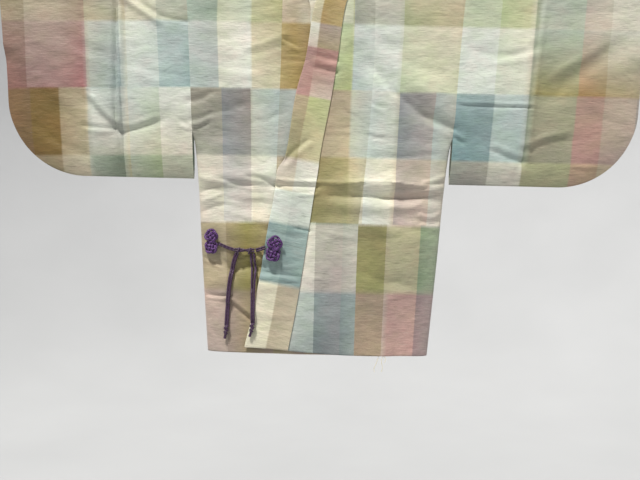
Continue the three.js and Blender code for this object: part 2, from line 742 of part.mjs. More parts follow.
// A flattened knot of two lobes, standing on the cloth.
function ornamentKnot({ x, z, wide, high, tilt, turn }) {
  const behind = (ORNAMENT_DEEP / 2) * Math.cos(Math.PI / LOBE_SIDES);
  const y = frontUnder(x, z, wide / 12, high / 4) - CORD_CLEARANCE - behind;
  const rings = LOBES.map(({ at, part }) =>
    Array.from({ length: LOBE_SIDES }, (_, j) => {
      const angle = (2 * Math.PI * j) / LOBE_SIDES;
      return new THREE.Vector3(
        (wide / 2) * part * Math.cos(angle),
        (ORNAMENT_DEEP / 2) * Math.sqrt(part) * Math.sin(angle),
        (high / 2) * at,
      );
    }),
  );
  const geometry = ringsGeometry(rings);
  geometry.rotateY(THREE.MathUtils.degToRad(tilt));
  geometry.rotateZ(THREE.MathUtils.degToRad(turn));
  return geometry.translate(x, y, z);
}

// The wrap that joins both ties, lying across.
function tieWrap({ x, z, wide, high, deep }) {
  const y = frontUnder(x, z, wide / 2, 0) - CORD_CLEARANCE - deep / 2;
  const profile = [-1, -0.85, -0.45, 0, 0.45, 0.85, 1];
  const rings = profile.map((at) => {
    const part = Math.sqrt(1 - 0.45 * at ** 4);
    return Array.from({ length: LOBE_SIDES }, (_, j) => {
      const angle = (2 * Math.PI * j) / LOBE_SIDES;
      return new THREE.Vector3(
        x + (wide / 2) * at,
        y + (deep / 2) * part * Math.sin(angle),
        z + (high / 2) * part * Math.cos(angle),
      );
    });
  });
  return ringsGeometry(rings);
}

// The knot and short tip at the end of a hanging tie.
function endKnot({ x, top, tip, lean }) {
  const high = top - tip;
  const y = frontUnder(x, top - high * 0.3, 0, high * 0.3) - CORD_CLEARANCE - END_KNOT_WIDE / 2;
  const rings = END_PROFILE.map(({ at, part }) =>
    Array.from({ length: 8 }, (_, j) => {
      const angle = (2 * Math.PI * j) / 8;
      const radius = (END_KNOT_WIDE / 2) * part;
      const across = x + lean * at ** 2 + radius * Math.cos(angle);
      return new THREE.Vector3(across, y + radius * Math.sin(angle), top - high * at);
    }),
  );
  return ringsGeometry(rings);
}

// The hook: a straight stem that bows to one side and comes back over the bearing point.
function hook() {
  const centreZ = -HOOK_RADIUS + HOOK_WIRE / 2;
  const foot = ROD_Z + ROD_RADIUS + SEAM_GAP;
  const stemTop = centreZ - HOOK_RADIUS * 1.25;
  const points = [
    new THREE.Vector3(0, 0, foot),
    new THREE.Vector3(0, 0, (foot + stemTop) / 2),
    new THREE.Vector3(0, 0, stemTop),
    new THREE.Vector3(3.5, 0, stemTop + 6),
  ];
  for (let i = 0; i <= HOOK_STEPS; i++) {
    const angle = THREE.MathUtils.degToRad(mix(HOOK_FROM, HOOK_TO, i / HOOK_STEPS));
    const high = centreZ + HOOK_RADIUS * Math.sin(angle);
    points.push(new THREE.Vector3(HOOK_RADIUS * Math.cos(angle), 0, high));
  }
  return tubeGeometry(points, HOOK_WIRE / 2, HOOK_SIDES);
}

function rod() {
  const radii = [
    { x: -ROD_HALF_LENGTH, part: 0.7 },
    { x: -ROD_HALF_LENGTH + 3, part: 1 },
    { x: ROD_HALF_LENGTH - 3, part: 1 },
    { x: ROD_HALF_LENGTH, part: 0.7 },
  ];
  const rings = radii.map(({ x, part }) =>
    Array.from({ length: ROD_SIDES }, (_, j) => {
      const angle = (2 * Math.PI * (j + 0.5)) / ROD_SIDES;
      const radius = ROD_RADIUS * part;
      return new THREE.Vector3(x, radius * Math.cos(angle), ROD_Z + radius * Math.sin(angle));
    }),
  );
  return ringsGeometry(rings);
}

addPiece("body_left", bodyPanel(1), COLOURS.panel);
addPiece("body_right", bodyPanel(-1), COLOURS.panel);
addPiece("okumi_left", okumi(1), COLOURS.okumi);
addPiece("okumi_right", okumi(-1), COLOURS.okumi);
addPiece("collar_left", collar(1), COLOURS.collar);
addPiece("collar_right", collar(-1), COLOURS.collar);
addPiece("sleeve_left", sleeve(1), COLOURS.sleeve);
addPiece("sleeve_right", sleeve(-1), COLOURS.sleeve);
for (const knot of ORNAMENTS) addPiece(knot.name, ornamentKnot(knot), COLOURS.cord);
addPiece("tie_wrap", tieWrap(WRAP), COLOURS.cord);
for (const { name, twin, route } of CORDS) {
  for (const { end, aside } of twin ? TWIN_STRANDS : ONE_STRAND) {
    const cord = tubeGeometry(cordPoints(route, aside), CORD_DIAMETER / 2, CORD_SIDES);
    addPiece(name + end, cord, COLOURS.cord);
  }
}
for (const knot of END_KNOTS) addPiece(knot.name, endKnot(knot), COLOURS.cord);
addPiece("hanger_rod", rod(), COLOURS.rod, 0.5);
addPiece("hanger_hook", hook(), COLOURS.hook, 0.35);

export default group;
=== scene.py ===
import math

import bpy
import numpy as np
from mathutils import Matrix, Vector


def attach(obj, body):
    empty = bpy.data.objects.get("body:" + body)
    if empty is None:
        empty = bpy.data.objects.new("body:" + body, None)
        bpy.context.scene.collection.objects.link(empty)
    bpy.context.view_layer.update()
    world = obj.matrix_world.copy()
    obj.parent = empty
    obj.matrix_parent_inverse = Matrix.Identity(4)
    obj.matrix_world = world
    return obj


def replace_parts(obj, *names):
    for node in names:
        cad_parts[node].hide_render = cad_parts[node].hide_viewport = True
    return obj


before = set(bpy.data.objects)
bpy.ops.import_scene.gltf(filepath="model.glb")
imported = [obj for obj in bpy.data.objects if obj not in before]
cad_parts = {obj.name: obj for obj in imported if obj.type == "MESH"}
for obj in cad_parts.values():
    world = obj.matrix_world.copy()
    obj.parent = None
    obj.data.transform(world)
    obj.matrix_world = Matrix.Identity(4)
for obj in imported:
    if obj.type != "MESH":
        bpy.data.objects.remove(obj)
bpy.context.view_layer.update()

# Sizes are in millimetres until a mesh is made. The front faces -Y.
MM = 0.001
PART_WALL = 1.6
BAND_WALL = 3.2
LAP = 5.0
BAND_PROUD = (BAND_WALL - PART_WALL) / 2
ROD_RADIUS = 8.0
SHOULDER_TOP = -120.0
BEND = ROD_RADIUS + 0.65 + PART_WALL / 2
ROD_Z = SHOULDER_TOP - PART_WALL / 2 - BEND
QUARTER_BEND = BEND * math.pi / 2
CORD_DIAMETER = 4.5
CORD_CLEARANCE = 0.5
TWIN_PITCH = 4.3
HEM_Z = -950.0
ATTACH_END = -512.0
SIDE_CLOSED = -546.0
EDGE_HALF_DEPTH = 10.0
FRONT_TOP = -178.0
HEM_LIFT = 11.0
HEM_LIFT_FADE = 70.0
CLOTH_WALL = 1.3
LAYER_WALL = 1.1
# Heights or places between which a thing fades, each as the smooth function takes them
EDGE_FADE = (-130, -300)
LAP_FADE = (-195, -145)
HEM_LIFT_ACROSS = (-142, 70)
LAP_RAMP = 40
LAP_START = 4

# z, half width, half depth of the front, half depth of the back
BODY = np.array([
    (-950, 217, 33, 26),
    (-760, 233, 28, 23),
    (-608, 245, 21, 18),
    (-546, 252.5, 17.5, 15.5),
    (-512, 259.5, 15.5, 14),
    (-441, 264, 14, 13),
    (-300, 273, 12, 11.5),
    (-131, 285, BEND, BEND),
    (-120, 285, BEND, BEND),
])
# z, panel to okumi, okumi to collar, free edge of the collar, rise of that edge
LEFT_LINES = np.array([
    (-950, 71, -57, -142, 0),
    (-819, 72, -37, -118.5, 0),
    (-703, 74, -22, -102, 0),
    (-640, 80, -14, -92, 0),
    (-592, 85, -7, -87, 0),
    (-566, 87.5, -4.5, -73, 0),
    (-441, 96, 16, -55, 0),
    (-368, 99, 26, -37, 0),
    (-262, 99, 39, -21, 0),
    (-220, 90, 55, -1, 14),
    (-178, 72.8, 71, 14, 22),
])
RIGHT_LINES = np.array([
    (-950, -86, 39, 120, 0),
    (-819, -87, 22, 101, 0),
    (-703, -88, 8, 86, 0),
    (-592, -89, 3, 73, 0),
    (-441, -87, -8, 54, 0),
    (-368, -86, -17, 44, 0),
    (-262, -86, -31, 28, 0),
    (-220, -84, -53, 4, 14),
    (-178, -72.8, -71, -14, 22),
])
OKUMI_LINE, SEAM_LINE, FREE_LINE, RISE = 1, 2, 3, 4
# way over the shoulder, neck seam, free edge of the collar in x, y and z
NECK = np.array([
    (-39.5, 78, 27, -11.6, -128),
    (-22.5, 84, 40, -11, -105),
    (-QUARTER_BEND, 87, 47, -9.4, -95),
    (-QUARTER_BEND * 2 / 3, 89, 52, -6.8, -88.5),
    (-QUARTER_BEND / 3, 89.8, 56, -3.5, -83.5),
    (0, 90, 58.5, 0, -80),
    (QUARTER_BEND / 3, 89.2, 58, 4, -78),
    (QUARTER_BEND * 2 / 3, 86, 55, 8, -76.8),
    (QUARTER_BEND, 78, 49, 11, -76),
    (17, 55, 35, 13.5, -75.5),
    (19, 28, 17, 14.6, -75),
    (19.5, 0, 0, 15, -75),
])
SLEEVE_WIDTH_TOP = 375.0
SLEEVE_WIDTH_LOW = 366.0
SLEEVE_BOTTOM = -610.0
SLEEVE_CORNER = 150.0
CORNER_Z = SLEEVE_BOTTOM + SLEEVE_CORNER
MOUTH_END = -350.0
MOUTH_BLEND = 36.0
BAG_EDGE = 0.8
BAG_SLOPE = 46.0
# z, inner edge, half depth
SLEEVE = np.array([
    (-610, 254.5, 8),
    (-546, 257.6, 9.8),
    (-512, 259.5, 10.5),
    (-441, 264, 11.5),
    (-300, 273, 10.5),
    (-131, 285, BEND),
    (-120, 285, BEND),
])
# Large folds. x1, z1, x2, z2, sideways bow, half breadth, how far the cloth stands out
FRONT_FOLDS = [
    (98, -388, 202, -467, 0, 22, -4.5), (202, -467, 252, -508, 0, 17, -3.5),
    (128, -376, 236, -452, 0, 24, 3), (52, -614, 142, -613, 0, 13, 4),
    (150, -606, 232, -626, 0, 13, 4.5), (40, -638, 230, -643, 0, 12, -4.5),
    (60, -660, 220, -656, 0, 12, 2.5), (30, -679, 216, -682, 0, 14, -3),
    (-225, -611, -110, -603, 0, 13, 3.5), (-222, -634, -100, -627, 0, 12, -4),
    (-215, -671, -105, -662, 0, 14, -3), (-212, -706, -100, -722, 0, 17, 3),
    (-196, -777, -108, -786, 0, 16, -4.5), (-204, -812, -118, -816, 0, 17, 3),
    (-205, -843, -140, -884, 0, 15, -4), (130, -770, 168, -930, 0, 30, -4),
    (-20, -800, -34, -940, 0, 34, 3.5), (-462, -471, -416, -514, 0, 17, -2.5),
    (-340, -500, -399, -524, 0, 17, -2.5), (-418, -293, -406, -560, 0, 16, 2.2),
    (-399, -254, -336, -293, 0, 18, 2.5), (334, -530, 393, -560, 0, 17, -2.5),
    (472, -534, 409, -553, 0, 17, -2.5), (418, -293, 404, -575, 0, 16, 2.2),
    (566, -343, 478, -412, 0, 24, -3.5),
]
BACK_FOLDS = [
    (-150, -390, -248, -500, 0, 24, -3.5), (140, -400, 246, -504, 0, 22, -4),
    (-215, -618, -30, -608, 0, 16, 3), (-220, -642, 60, -636, 0, 15, -3.5),
    (70, -612, 222, -622, 0, 16, 3.5), (90, -650, 216, -646, 0, 15, -3),
    (-110, -760, -150, -930, 0, 32, -4), (60, -720, 88, -925, 0, 34, -4),
    (410, -300, 402, -560, 0, 20, 2.2), (-412, -300, -404, -560, 0, 20, 2.2),
    (-540, -330, -460, -420, 0, 24, -3),
]
# Finer creases, in the same columns
FRONT_CREASES = [
    # wearer's left front
    (4, -614, 77, -611, 2, 3.5, 1.4), (81, -621, 140, -618, -3, 3.4, 1.1),
    (70, -613, 150, -611, -2, 3, 1.2), (146, -611, 240, -616, 2, 3, 2.1),
    (66, -638, 132, -641, -2, 4, -1.3), (126, -641, 238, -628, 3, 4.2, -2.0),
    (120, -626, 232, -622, 3, 6, 1.2), (207, -608, 248, -593, 2, 3.6, 1.9),
    (211, -617, 247, -604, 2, 3.4, -1.4), (198, -674, 236, -668, 6, 4, 1.5),
    (202, -686, 236, -682, 5, 4, -1.2), (18, -640, 61, -643, 0, 4, -1.1),
    (66, -634, 96, -637, -3, 3.6, 1.0), (150, -658, 196, -650, 4, 6, 1.2),
    (146, -697, 214, -708, 0, 8, -1.2), (86, -722, 160, -714, 5, 9, -0.9),
    (30, -716, 64, -722, 0, 6, 0.8), (92, -792, 150, -806, 6, 9, -1.3),
    (140, -838, 190, -829, -4, 9, 1.1), (92, -449, 118, -460, 2, 3.5, -1.0),
    (97, -463, 115, -470, 0, 3.4, 0.9), (92, -518, 118, -522, 2, 3, -1.1),
    (94, -510, 120, -513, 2, 3, 0.8), (44, -470, 66, -483, 2, 3, -1.1),
    (13, -508, 50, -506, 1, 2.2, -0.9), (11, -522, 50, -521, -1, 2.2, -0.8),
    (98, -398, 137, -441, 0, 7, 1.2), (143, -433, 202, -477, 0, 7, -1.5),
    (202, -477, 256, -498, 0, 7, -1.8), (214, -498, 258, -514, 0, 5, 1.3),
    (150, -352, 230, -392, 6, 14, -0.9), (60, -330, 150, -318, -6, 15, 0.8),
    (112, -560, 220, -552, 3, 5, -0.8),
    # its collar
    (-9, -364, 25, -372, 1, 4, -1.3), (-13, -376, 23, -384, 1, 4, 1.5),
    (-15, -389, 21, -395, 0, 4, -1.1), (-20, -404, 14, -411, 2, 5, 0.8),
    (-34, -536, -70, -571, 3, 5, -1.7), (-28, -545, -60, -578, 3, 5, 0.9),
    (-84, -611, -9, -613, 1, 3, 1.5), (-84, -621, -9, -623, 1, 3.4, -1.2),
    (-38, -640, -12, -638, 1, 2.6, 1.2), (-46, -706, -22, -710, 0, 3, -1.5),
    (-100, -712, -44, -722, 3, 7, -1.0), (-112, -792, -43, -798, 1, 2.8, -1.1),
    (-114, -801, -45, -808, -1, 2.5, 1.0), (-112, -810, -57, -814, 1, 2.4, -0.9),
    (-100, -778, -52, -780, 2, 3.4, 0.8), (-12, -802, -2, -802, 0, 2.2, 1.0),
    (-120, -868, -70, -874, 4, 7, 0.9),
    # wearer's right front
    (-246, -606, -195, -617, 2, 5, 1.2), (-240, -638, -209, -626, 0, 3.6, -1.6),
    (-238, -658, -203, -644, 0, 3.6, 1.4), (-232, -676, -195, -662, 0, 4, -1.3),
    (-195, -612, -146, -620, 2, 5, -1.5), (-142, -606, -93, -622, -5, 4.5, -1.6),
    (-140, -630, -96, -633, -2, 5, 1.3), (-187, -648, -116, -654, 3, 6, -1.1),
    (-180, -676, -110, -690, 3, 8, 1.0), (-227, -766, -198, -778, 1, 3, -1.1),
    (-222, -775, -196, -786, 1, 3, 0.8), (-217, -840, -177, -840, 1, 2.8, -1.7),
    (-217, -846, -178, -847, 1, 2.8, 1.4), (-178, -851, -134, -886, 0, 3.4, -1.6),
    (-170, -846, -128, -878, 0, 3.8, 1.1), (-198, -750, -168, -798, 4, 6, -2.0),
    (-164, -790, -113, -782, -5, 7, -1.6), (-158, -772, -110, -768, -3, 6, 1.3),
    (-214, -884, -190, -930, 3, 7, -1.0), (-145, -347, -86, -326, 2, 6, 1.0),
    (-143, -362, -86, -345, 2, 6, -0.7), (-82, -329, -60, -341, 0, 3, -1.3),
    (-82, -338, -58, -349, 0, 3, 1.0), (-82, -357, -36, -361, 1, 2.4, -0.8),
    (-82, -370, -38, -375, -1, 2.4, -0.8), (-263, -457, -228, -442, 3, 6, -1.6),
    (-259, -494, -226, -484, 2, 5, -1.3), (-256, -514, -229, -502, 1, 4, -1.2),
    (-256, -505, -230, -494, 1, 4, 1.0), (-214, -477, -162, -463, 3, 8, -1.0),
    (-133, -494, -91, -482, 2, 5, -0.9), (-200, -330, -130, -300, 5, 12, -0.8),
    (-222, -396, -150, -404, 5, 10, 0.9),
    # wearer's right sleeve
    (-416, -254, -412, -507, 0, 5, -2.9), (-407, -254, -403, -500, 0, 5, 2.4),
    (-404, -520, -396, -590, 0, 4, -1.1), (-466, -463, -416, -511, 3, 9, -1.5),
    (-456, -458, -412, -500, 3, 6, 1.7), (-469, -512, -418, -515, 1, 4, -1.4),
    (-462, -521, -420, -522, 1, 4, 0.9), (-402, -520, -333, -501, 3, 7, -1.3),
    (-400, -511, -336, -491, 3, 6, 1.3), (-399, -258, -338, -297, 0, 6, 2.2),
    (-378, -258, -335, -287, 0, 7, -1.8), (-324, -290, -273, -301, 1, 3, -1.1),
    (-281, -496, -264, -506, 0, 2.6, -1.1), (-284, -507, -264, -515, 0, 2.6, 0.9),
    (-596, -349, -556, -349, 0, 2, 0.7), (-520, -330, -450, -366, 6, 12, -0.9),
    (-560, -420, -500, -470, 5, 12, 0.9), (-360, -392, -300, -404, 4, 9, -0.8),
    (-560, -520, -470, -566, 4, 10, -0.9),
    # wearer's left sleeve
    (428, -254, 399, -563, 0, 4, -1.2), (436, -254, 407, -560, 0, 4.4, 0.9),
    (348, -545, 397, -560, 2, 7, -1.4), (344, -532, 394, -548, 2, 7, 1.0),
    (409, -538, 478, -517, -3, 9, -1.1), (412, -526, 476, -505, -3, 6, 1.3),
    (277, -453, 412, -455, 0, 2.3, -1.1), (277, -447, 412, -449, 0, 2.2, 1.0),
    (563, -339, 483, -400, 0, 14, -1.2), (546, -330, 470, -380, 0, 9, 1.2),
    (505, -569, 550, -569, 0, 2.6, 1.3), (487, -518, 502, -518, 0, 2.2, -0.9),
    (357, -353, 416, -337, 2, 8, -1.0), (352, -366, 412, -352, 2, 8, 0.7),
    (258, -514, 277, -527, 0, 3, -1.5), (259, -506, 280, -518, 0, 3, 1.1),
    (392, -570, 380, -606, 0, 6, -1.0), (300, -340, 352, -352, 4, 10, -0.8),
    (520, -450, 580, -480, 5, 11, -0.9),
]
BACK_CREASES = [
    (-206, -604, -60, -612, 4, 5, 1.4), (-212, -628, -96, -622, -3, 4, -1.6),
    (-190, -652, -40, -660, 5, 6, 1.2), (24, -606, 150, -614, 4, 5, 1.3),
    (60, -630, 224, -640, -3, 4, -1.7), (110, -664, 210, -656, 4, 6, 1.2),
    (-180, -706, -90, -716, 4, 8, -1.0), (30, -742, 120, -736, 5, 9, 0.9),
    (-150, -846, -84, -866, 4, 5, -1.3), (90, -832, 160, -860, 4, 6, -1.2),
    (-240, -440, -180, -420, 3, 6, -1.5), (-250, -470, -196, -446, 3, 5, 1.2),
    (176, -430, 246, -462, 3, 6, -1.5), (188, -424, 252, -452, 3, 5, 1.1),
    (-120, -330, -30, -300, 6, 13, -0.9), (40, -340, 130, -360, 6, 14, 0.8),
    (410, -254, 402, -560, 0, 3.4, -1.5), (418, -254, 410, -560, 0, 4, 1.0),
    (-412, -254, -404, -560, 0, 3.4, -1.5), (-420, -254, -412, -560, 0, 4, 1.0),
    (-470, -500, -412, -530, 3, 6, -1.6), (-350, -520, -404, -540, 3, 6, -1.3),
    (340, -496, 398, -530, 3, 6, -1.6), (470, -520, 410, -546, 3, 6, -1.4),
    (540, -360, 470, -420, 4, 10, -1.2), (-300, -350, -352, -366, 3, 8, -1.0),
]
CREASE_DEPTH = 1.95
FOLDS_START = -150.0
FOLDS_FULL = -200.0


def unit(vectors):
    return vectors / np.linalg.norm(vectors, axis=-1, keepdims=True)


def smooth(start, stop, value):
    t = np.clip((value - start) / (stop - start), 0, 1)
    return t * t * (3 - 2 * t)


def mix(a, b, t):
    return a + (b - a) * t


def curve_at(table, column, z):
    """A smooth curve through one column of a table whose rows rise by their first."""
    at, value = table[:, 0], table[:, column]
    step = np.diff(at)
    slope = np.diff(value) / step
    bend = np.empty(len(at))
    bend[0], bend[-1] = slope[0], slope[-1]
    before, after = slope[:-1], slope[1:]
    total = np.where(before * after > 0, before + after, 1)
    bend[1:-1] = np.where(before * after > 0, 2 * before * after / total, 0)
    z = np.clip(z, at[0], at[-1])
    i = np.clip(np.searchsorted(at, z, side="right") - 1, 0, len(step) - 1)
    t = (z - at[i]) / step[i]
    ends = value[i] * (1 + 2 * t) * (1 - t) ** 2 + value[i + 1] * t * t * (3 - 2 * t)
    return ends + step[i] * (bend[i] * t * (1 - t) ** 2 - bend[i + 1] * t * t * (1 - t))


def folds_at(folds, x, z):
    """How far a table of folds moves the cloth out: each fold is a soft ridge on a bowed line."""
    out = np.zeros(np.broadcast(x, z).shape)
    for x1, z1, x2, z2, bow, breadth, height in folds:
        run_x, run_z = x2 - x1, z2 - z1
        length = math.hypot(run_x, run_z)
        along = ((x - x1) * run_x + (z - z1) * run_z) / length
        across = ((x - x1) * run_z - (z - z1) * run_x) / length
        part = np.clip(along / length, 0, 1)
        across = across - bow * 4 * part * (1 - part)
        past = np.maximum(0, np.maximum(-along, along - length))
        near = (across / breadth) ** 2 + (past / (2.4 * breadth)) ** 2
        out += height * np.exp(-np.minimum(near, 40))
    return out


def ripple_at(x, z, face):
    """The slight unevenness of hung silk: a few crossing waves of unlike lengths."""
    turn = 1.7 * face
    out = 0.30 * np.sin(x / 31 + z / 57 + turn) * np.sin(z / 43 - x / 89)
    out += 0.20 * np.sin(z / 13.7 + np.sin(x / 47 + turn) * 1.9)
    out += 0.12 * np.sin(z / 6.1 + np.sin(x / 23 - turn) * 2.3 + x / 71)
    out += 0.10 * np.sin(x / 11.3 + np.sin(z / 37) * 2.1)
    return out


def all_folds(x, z, face):
    large, fine = (FRONT_FOLDS, FRONT_CREASES) if face < 0 else (BACK_FOLDS, BACK_CREASES)
    out = folds_at(large, x, z) + CREASE_DEPTH * folds_at(fine, x, z) + ripple_at(x, z, face)
    return out * (1 - smooth(FOLDS_FULL, FOLDS_START, z))


def body_half_depth(x, z, face):
    reach = np.minimum(np.abs(x) / curve_at(BODY, 1, z), 1)
    full = curve_at(BODY, 2 if face < 0 else 3, z)
    closed = 1 - smooth(SIDE_CLOSED, ATTACH_END, z)
    edge = mix(mix(BEND, EDGE_HALF_DEPTH, smooth(*EDGE_FADE, z)), 0.05, closed)
    round_part = (1 - reach**4) ** 0.25
    depth = edge + (full - edge) * mix(1 - reach * reach, round_part, closed)
    return depth + all_folds(x, z, face) * mix(1, round_part, closed)


def lap_at(x, z):
    under = curve_at(RIGHT_LINES, FREE_LINE, z)
    start = under + LAP_START
    return LAP * (1 - smooth(start, start + LAP_RAMP, x)) * (1 - smooth(*LAP_FADE, z))


def height_of(over):
    """The height of a place given by its way over the shoulder: 0 on top, less in front."""
    return ROD_Z - (np.abs(over) - QUARTER_BEND)


def over_of(z, face):
    return face * (QUARTER_BEND + ROD_Z - z)


def body_points(x, over, outward=0.0, lap=False):
    """Points on the middle of the body's cloth, moved outward by a distance."""
    x, over, outward = np.broadcast_arrays(x, over, outward)
    turn = np.clip(over, -QUARTER_BEND, QUARTER_BEND) / BEND
    radius = BEND + outward
    z = height_of(over)
    front = body_half_depth(x, z, -1) + (lap_at(x, z) if lap else 0)
    flat_y = np.where(over < 0, -(front + outward), body_half_depth(x, z, 1) + outward)
    on_bend = np.abs(over) <= QUARTER_BEND
    y = np.where(on_bend, radius * np.sin(turn), flat_y)
    z = np.where(on_bend, ROD_Z + radius * np.cos(turn), z)
    return np.stack([x, y, z], axis=-1)


def hem_lift(x, z):
    """How much higher the hem of the left front hangs towards its free edge."""
    across = 1 - smooth(*HEM_LIFT_ACROSS, x)
    return HEM_LIFT * across * (1 - smooth(HEM_Z, HEM_Z + HEM_LIFT_FADE, z))


def front_face(x, z):
    """How far out in -Y the outer face of the front lies."""
    free = curve_at(LEFT_LINES, FREE_LINE, z)
    seam = curve_at(LEFT_LINES, SEAM_LINE, z)
    on_left = x > free - 1.5 * CORD_DIAMETER
    band = np.where(on_left & (x < seam), BAND_WALL - PART_WALL, 0)
    lap = np.where(on_left, lap_at(x, z), 0)
    return -(body_half_depth(x, z, -1) + lap + band + PART_WALL / 2)


def front_under(x, z, half_wide, half_high):
    """The foremost Y of the front's outer face over a small patch."""
    i, j = np.meshgrid(np.linspace(-1, 1, 5), np.linspace(-1, 1, 5))
    return float(np.min(front_face(x + i * half_wide, z + j * half_high)))


# ---------------------------------------------------------------- camera
CAMERA_Y = -1.372
CAMERA_Z = -0.727
CAMERA_ROLL = 1.4
VIEW_WIDTH_DEG = 50.0

camera_data = bpy.data.cameras.new("camera")
camera_data.lens = camera_data.sensor_width / 2 / math.tan(math.radians(VIEW_WIDTH_DEG / 2))
camera = bpy.data.objects.new("camera", camera_data)
bpy.context.scene.collection.objects.link(camera)
level = Matrix.Rotation(math.radians(90), 4, "X")
roll = Matrix.Rotation(math.radians(CAMERA_ROLL), 4, "Z")
camera.matrix_world = Matrix.Translation((0, CAMERA_Y, CAMERA_Z)) @ level @ roll
bpy.context.scene.camera = camera


# ---------------------------------------------------------------- shader helpers
def linear(colour):
    """An sRGB colour of 0 to 255 as linear RGBA."""
    part = [c / 255 for c in colour]
    return [c / 12.92 if c <= 0.04045 else ((c + 0.055) / 1.055) ** 2.4 for c in part] + [1]


class Shader:
    def __init__(self, name):
        self.material = bpy.data.materials.new(name)
        self.material.use_nodes = True
        self.tree = self.material.node_tree
        self.surface = self.tree.nodes["Principled BSDF"]

    def node(self, kind, inputs=None, **settings):
        made = self.tree.nodes.new(kind)
        for key, value in settings.items():
            setattr(made, key, value)
        for key, value in (inputs or {}).items():
            self.give(made.inputs[key], value)
        return made

    def give(self, socket, value):
        if isinstance(value, bpy.types.NodeSocket):
            self.tree.links.new(value, socket)
        else:
            socket.default_value = value

    def split(self, vector):
        return self.node("ShaderNodeSeparateXYZ", {0: vector}).outputs

    def map_range(self, value, low, high, to_low=0.0, to_high=1.0):
        settings = {0: value, 1: low, 2: high, 3: to_low, 4: to_high}
        return self.node("ShaderNodeMapRange", settings).outputs[0]

    def cloth_uv(self):
        return self.node("ShaderNodeUVMap", uv_map="cloth").outputs[0]

    def object_place(self):
        return self.node("ShaderNodeTexCoord").outputs["Object"]

    def math(self, operation, a, b=0.0, c=0.0):
        return self.node("ShaderNodeMath", {0: a, 1: b, 2: c}, operation=operation).outputs[0]

    def ramp(self, value, stops):
        made = self.node("ShaderNodeValToRGB", {"Fac": value})
        elements = made.color_ramp.elements
        while len(elements) > 1:
            elements.remove(elements[-1])
        elements[0].position, elements[0].color = stops[0]
        for position, colour in stops[1:]:
            elements.new(position).color = colour
        return made.outputs["Color"]

    def blend(self, factor, a, b, blend_type="MIX"):
        made = self.node("ShaderNodeMix", data_type="RGBA", blend_type=blend_type)
        for socket, value in ((0, factor), (6, a), (7, b)):
            self.give(made.inputs[socket], value)
        return made.outputs[2]

    def noise(self, vector, scale, stretch=(1, 1, 1), detail=2.0, roughness=0.5):
        scaled = self.node("ShaderNodeMapping", {"Vector": vector, "Scale": stretch})
        inputs = {"Vector": scaled.outputs[0], "Scale": scale, "Detail": detail}
        inputs["Roughness"] = roughness
        return self.node("ShaderNodeTexNoise", inputs).outputs["Fac"]

    def bump(self, height, distance, normal=None):
        inputs = {"Height": height, "Distance": distance, "Strength": 1.0}
        if normal is not None:
            inputs["Normal"] = normal
        return self.node("ShaderNodeBump", inputs).outputs["Normal"]

    def finish(self, colour, normal=None, **sockets):
        """Uniform values stay on the surface's own sockets, and the rest is linked."""
        self.give(self.surface.inputs["Base Color"], colour)
        if normal is not None:
            self.give(self.surface.inputs["Normal"], normal)
        for key, value in sockets.items():
            self.give(self.surface.inputs[key.replace("_", " ")], value)
        return self.material


def grey(value):
    return [value, value, value, 1]


# ---------------------------------------------------------------- meshes and cords
def add_object(name, mesh, material):
    made = bpy.data.objects.new(name, mesh)
    bpy.context.scene.collection.objects.link(made)
    mesh.materials.append(material)
    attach(made, "root")
    return made


def new_mesh(name, points, faces, uv=None, sharp=None):
    """A mesh in metres from points in millimetres, facing out."""
    points = np.asarray(points, float) * MM
    faces = np.asarray(faces)
    a, b, c = (points[faces[:, k]] for k in (0, 1, 2))
    d = points[faces[:, 3]]
    volume = np.einsum("ij,ij->i", a, np.cross(b, c)).sum()
    volume += np.einsum("ij,ij->i", a, np.cross(c, d)).sum()
    if volume < 0:
        faces = faces[:, ::-1]
    mesh = bpy.data.meshes.new(name)
    mesh.from_pydata(points.tolist(), [], faces.tolist())
    if uv is not None:
        layer = mesh.uv_layers.new(name="cloth")
        corners = np.empty(len(mesh.loops), np.int32)
        mesh.loops.foreach_get("vertex_index", corners)
        layer.data.foreach_set("uv", np.asarray(uv)[corners].ravel())
    mesh.shade_smooth()
    if sharp:
        mesh.set_sharp_from_angle(angle=math.radians(sharp))
    return mesh


CURVE_STEPS = 24


def resample(route, count):
    """count + 1 points at equal distances on a smooth curve through the points of a route."""
    route = np.asarray(route, float)
    padded = np.vstack([2 * route[0] - route[1], route, 2 * route[-1] - route[-2]])
    t = np.linspace(0, 1, CURVE_STEPS, endpoint=False)[:, None]
    fine = []
    for a, b, c, d in zip(padded, padded[1:], padded[2:], padded[3:]):
        second, third = 2 * a - 5 * b + 4 * c - d, 3 * b - a - 3 * c + d
        fine.append(0.5 * (2 * b + (c - a) * t + second * t**2 + third * t**3))
    fine = np.vstack([*fine, padded[-2]])
    length = np.concatenate([[0], np.cumsum(np.linalg.norm(np.diff(fine, axis=0), axis=1))])
    at = np.linspace(0, length[-1], count + 1)
    return np.stack([np.interp(at, length, fine[:, k]) for k in range(3)], axis=1)


def frames_along(points, closed=False):
    """Two directions across a line at each of its points, turned as little as may be."""
    if closed:
        tangent = np.roll(points, -1, axis=0) - np.roll(points, 1, axis=0)
    else:
        tangent = np.gradient(points, axis=0)
    tangent = unit(tangent)
    first = np.empty_like(points)
    previous = np.array([0.02, 1, 0.05])
    for i, along in enumerate(tangent):
        previous = unit(previous - along * previous.dot(along))
        first[i] = previous
    if closed:
        away = unit(first[-1] - tangent[0] * first[-1].dot(tangent[0]))
        second = np.cross(tangent[0], first[0])
        slip = math.atan2(away.dot(second), away.dot(first[0]))
        for i, along in enumerate(tangent):
            turn = -slip * i / len(tangent)
            first[i] = first[i] * math.cos(turn) + np.cross(along, first[i]) * math.sin(turn)
    return first, np.cross(tangent, first)


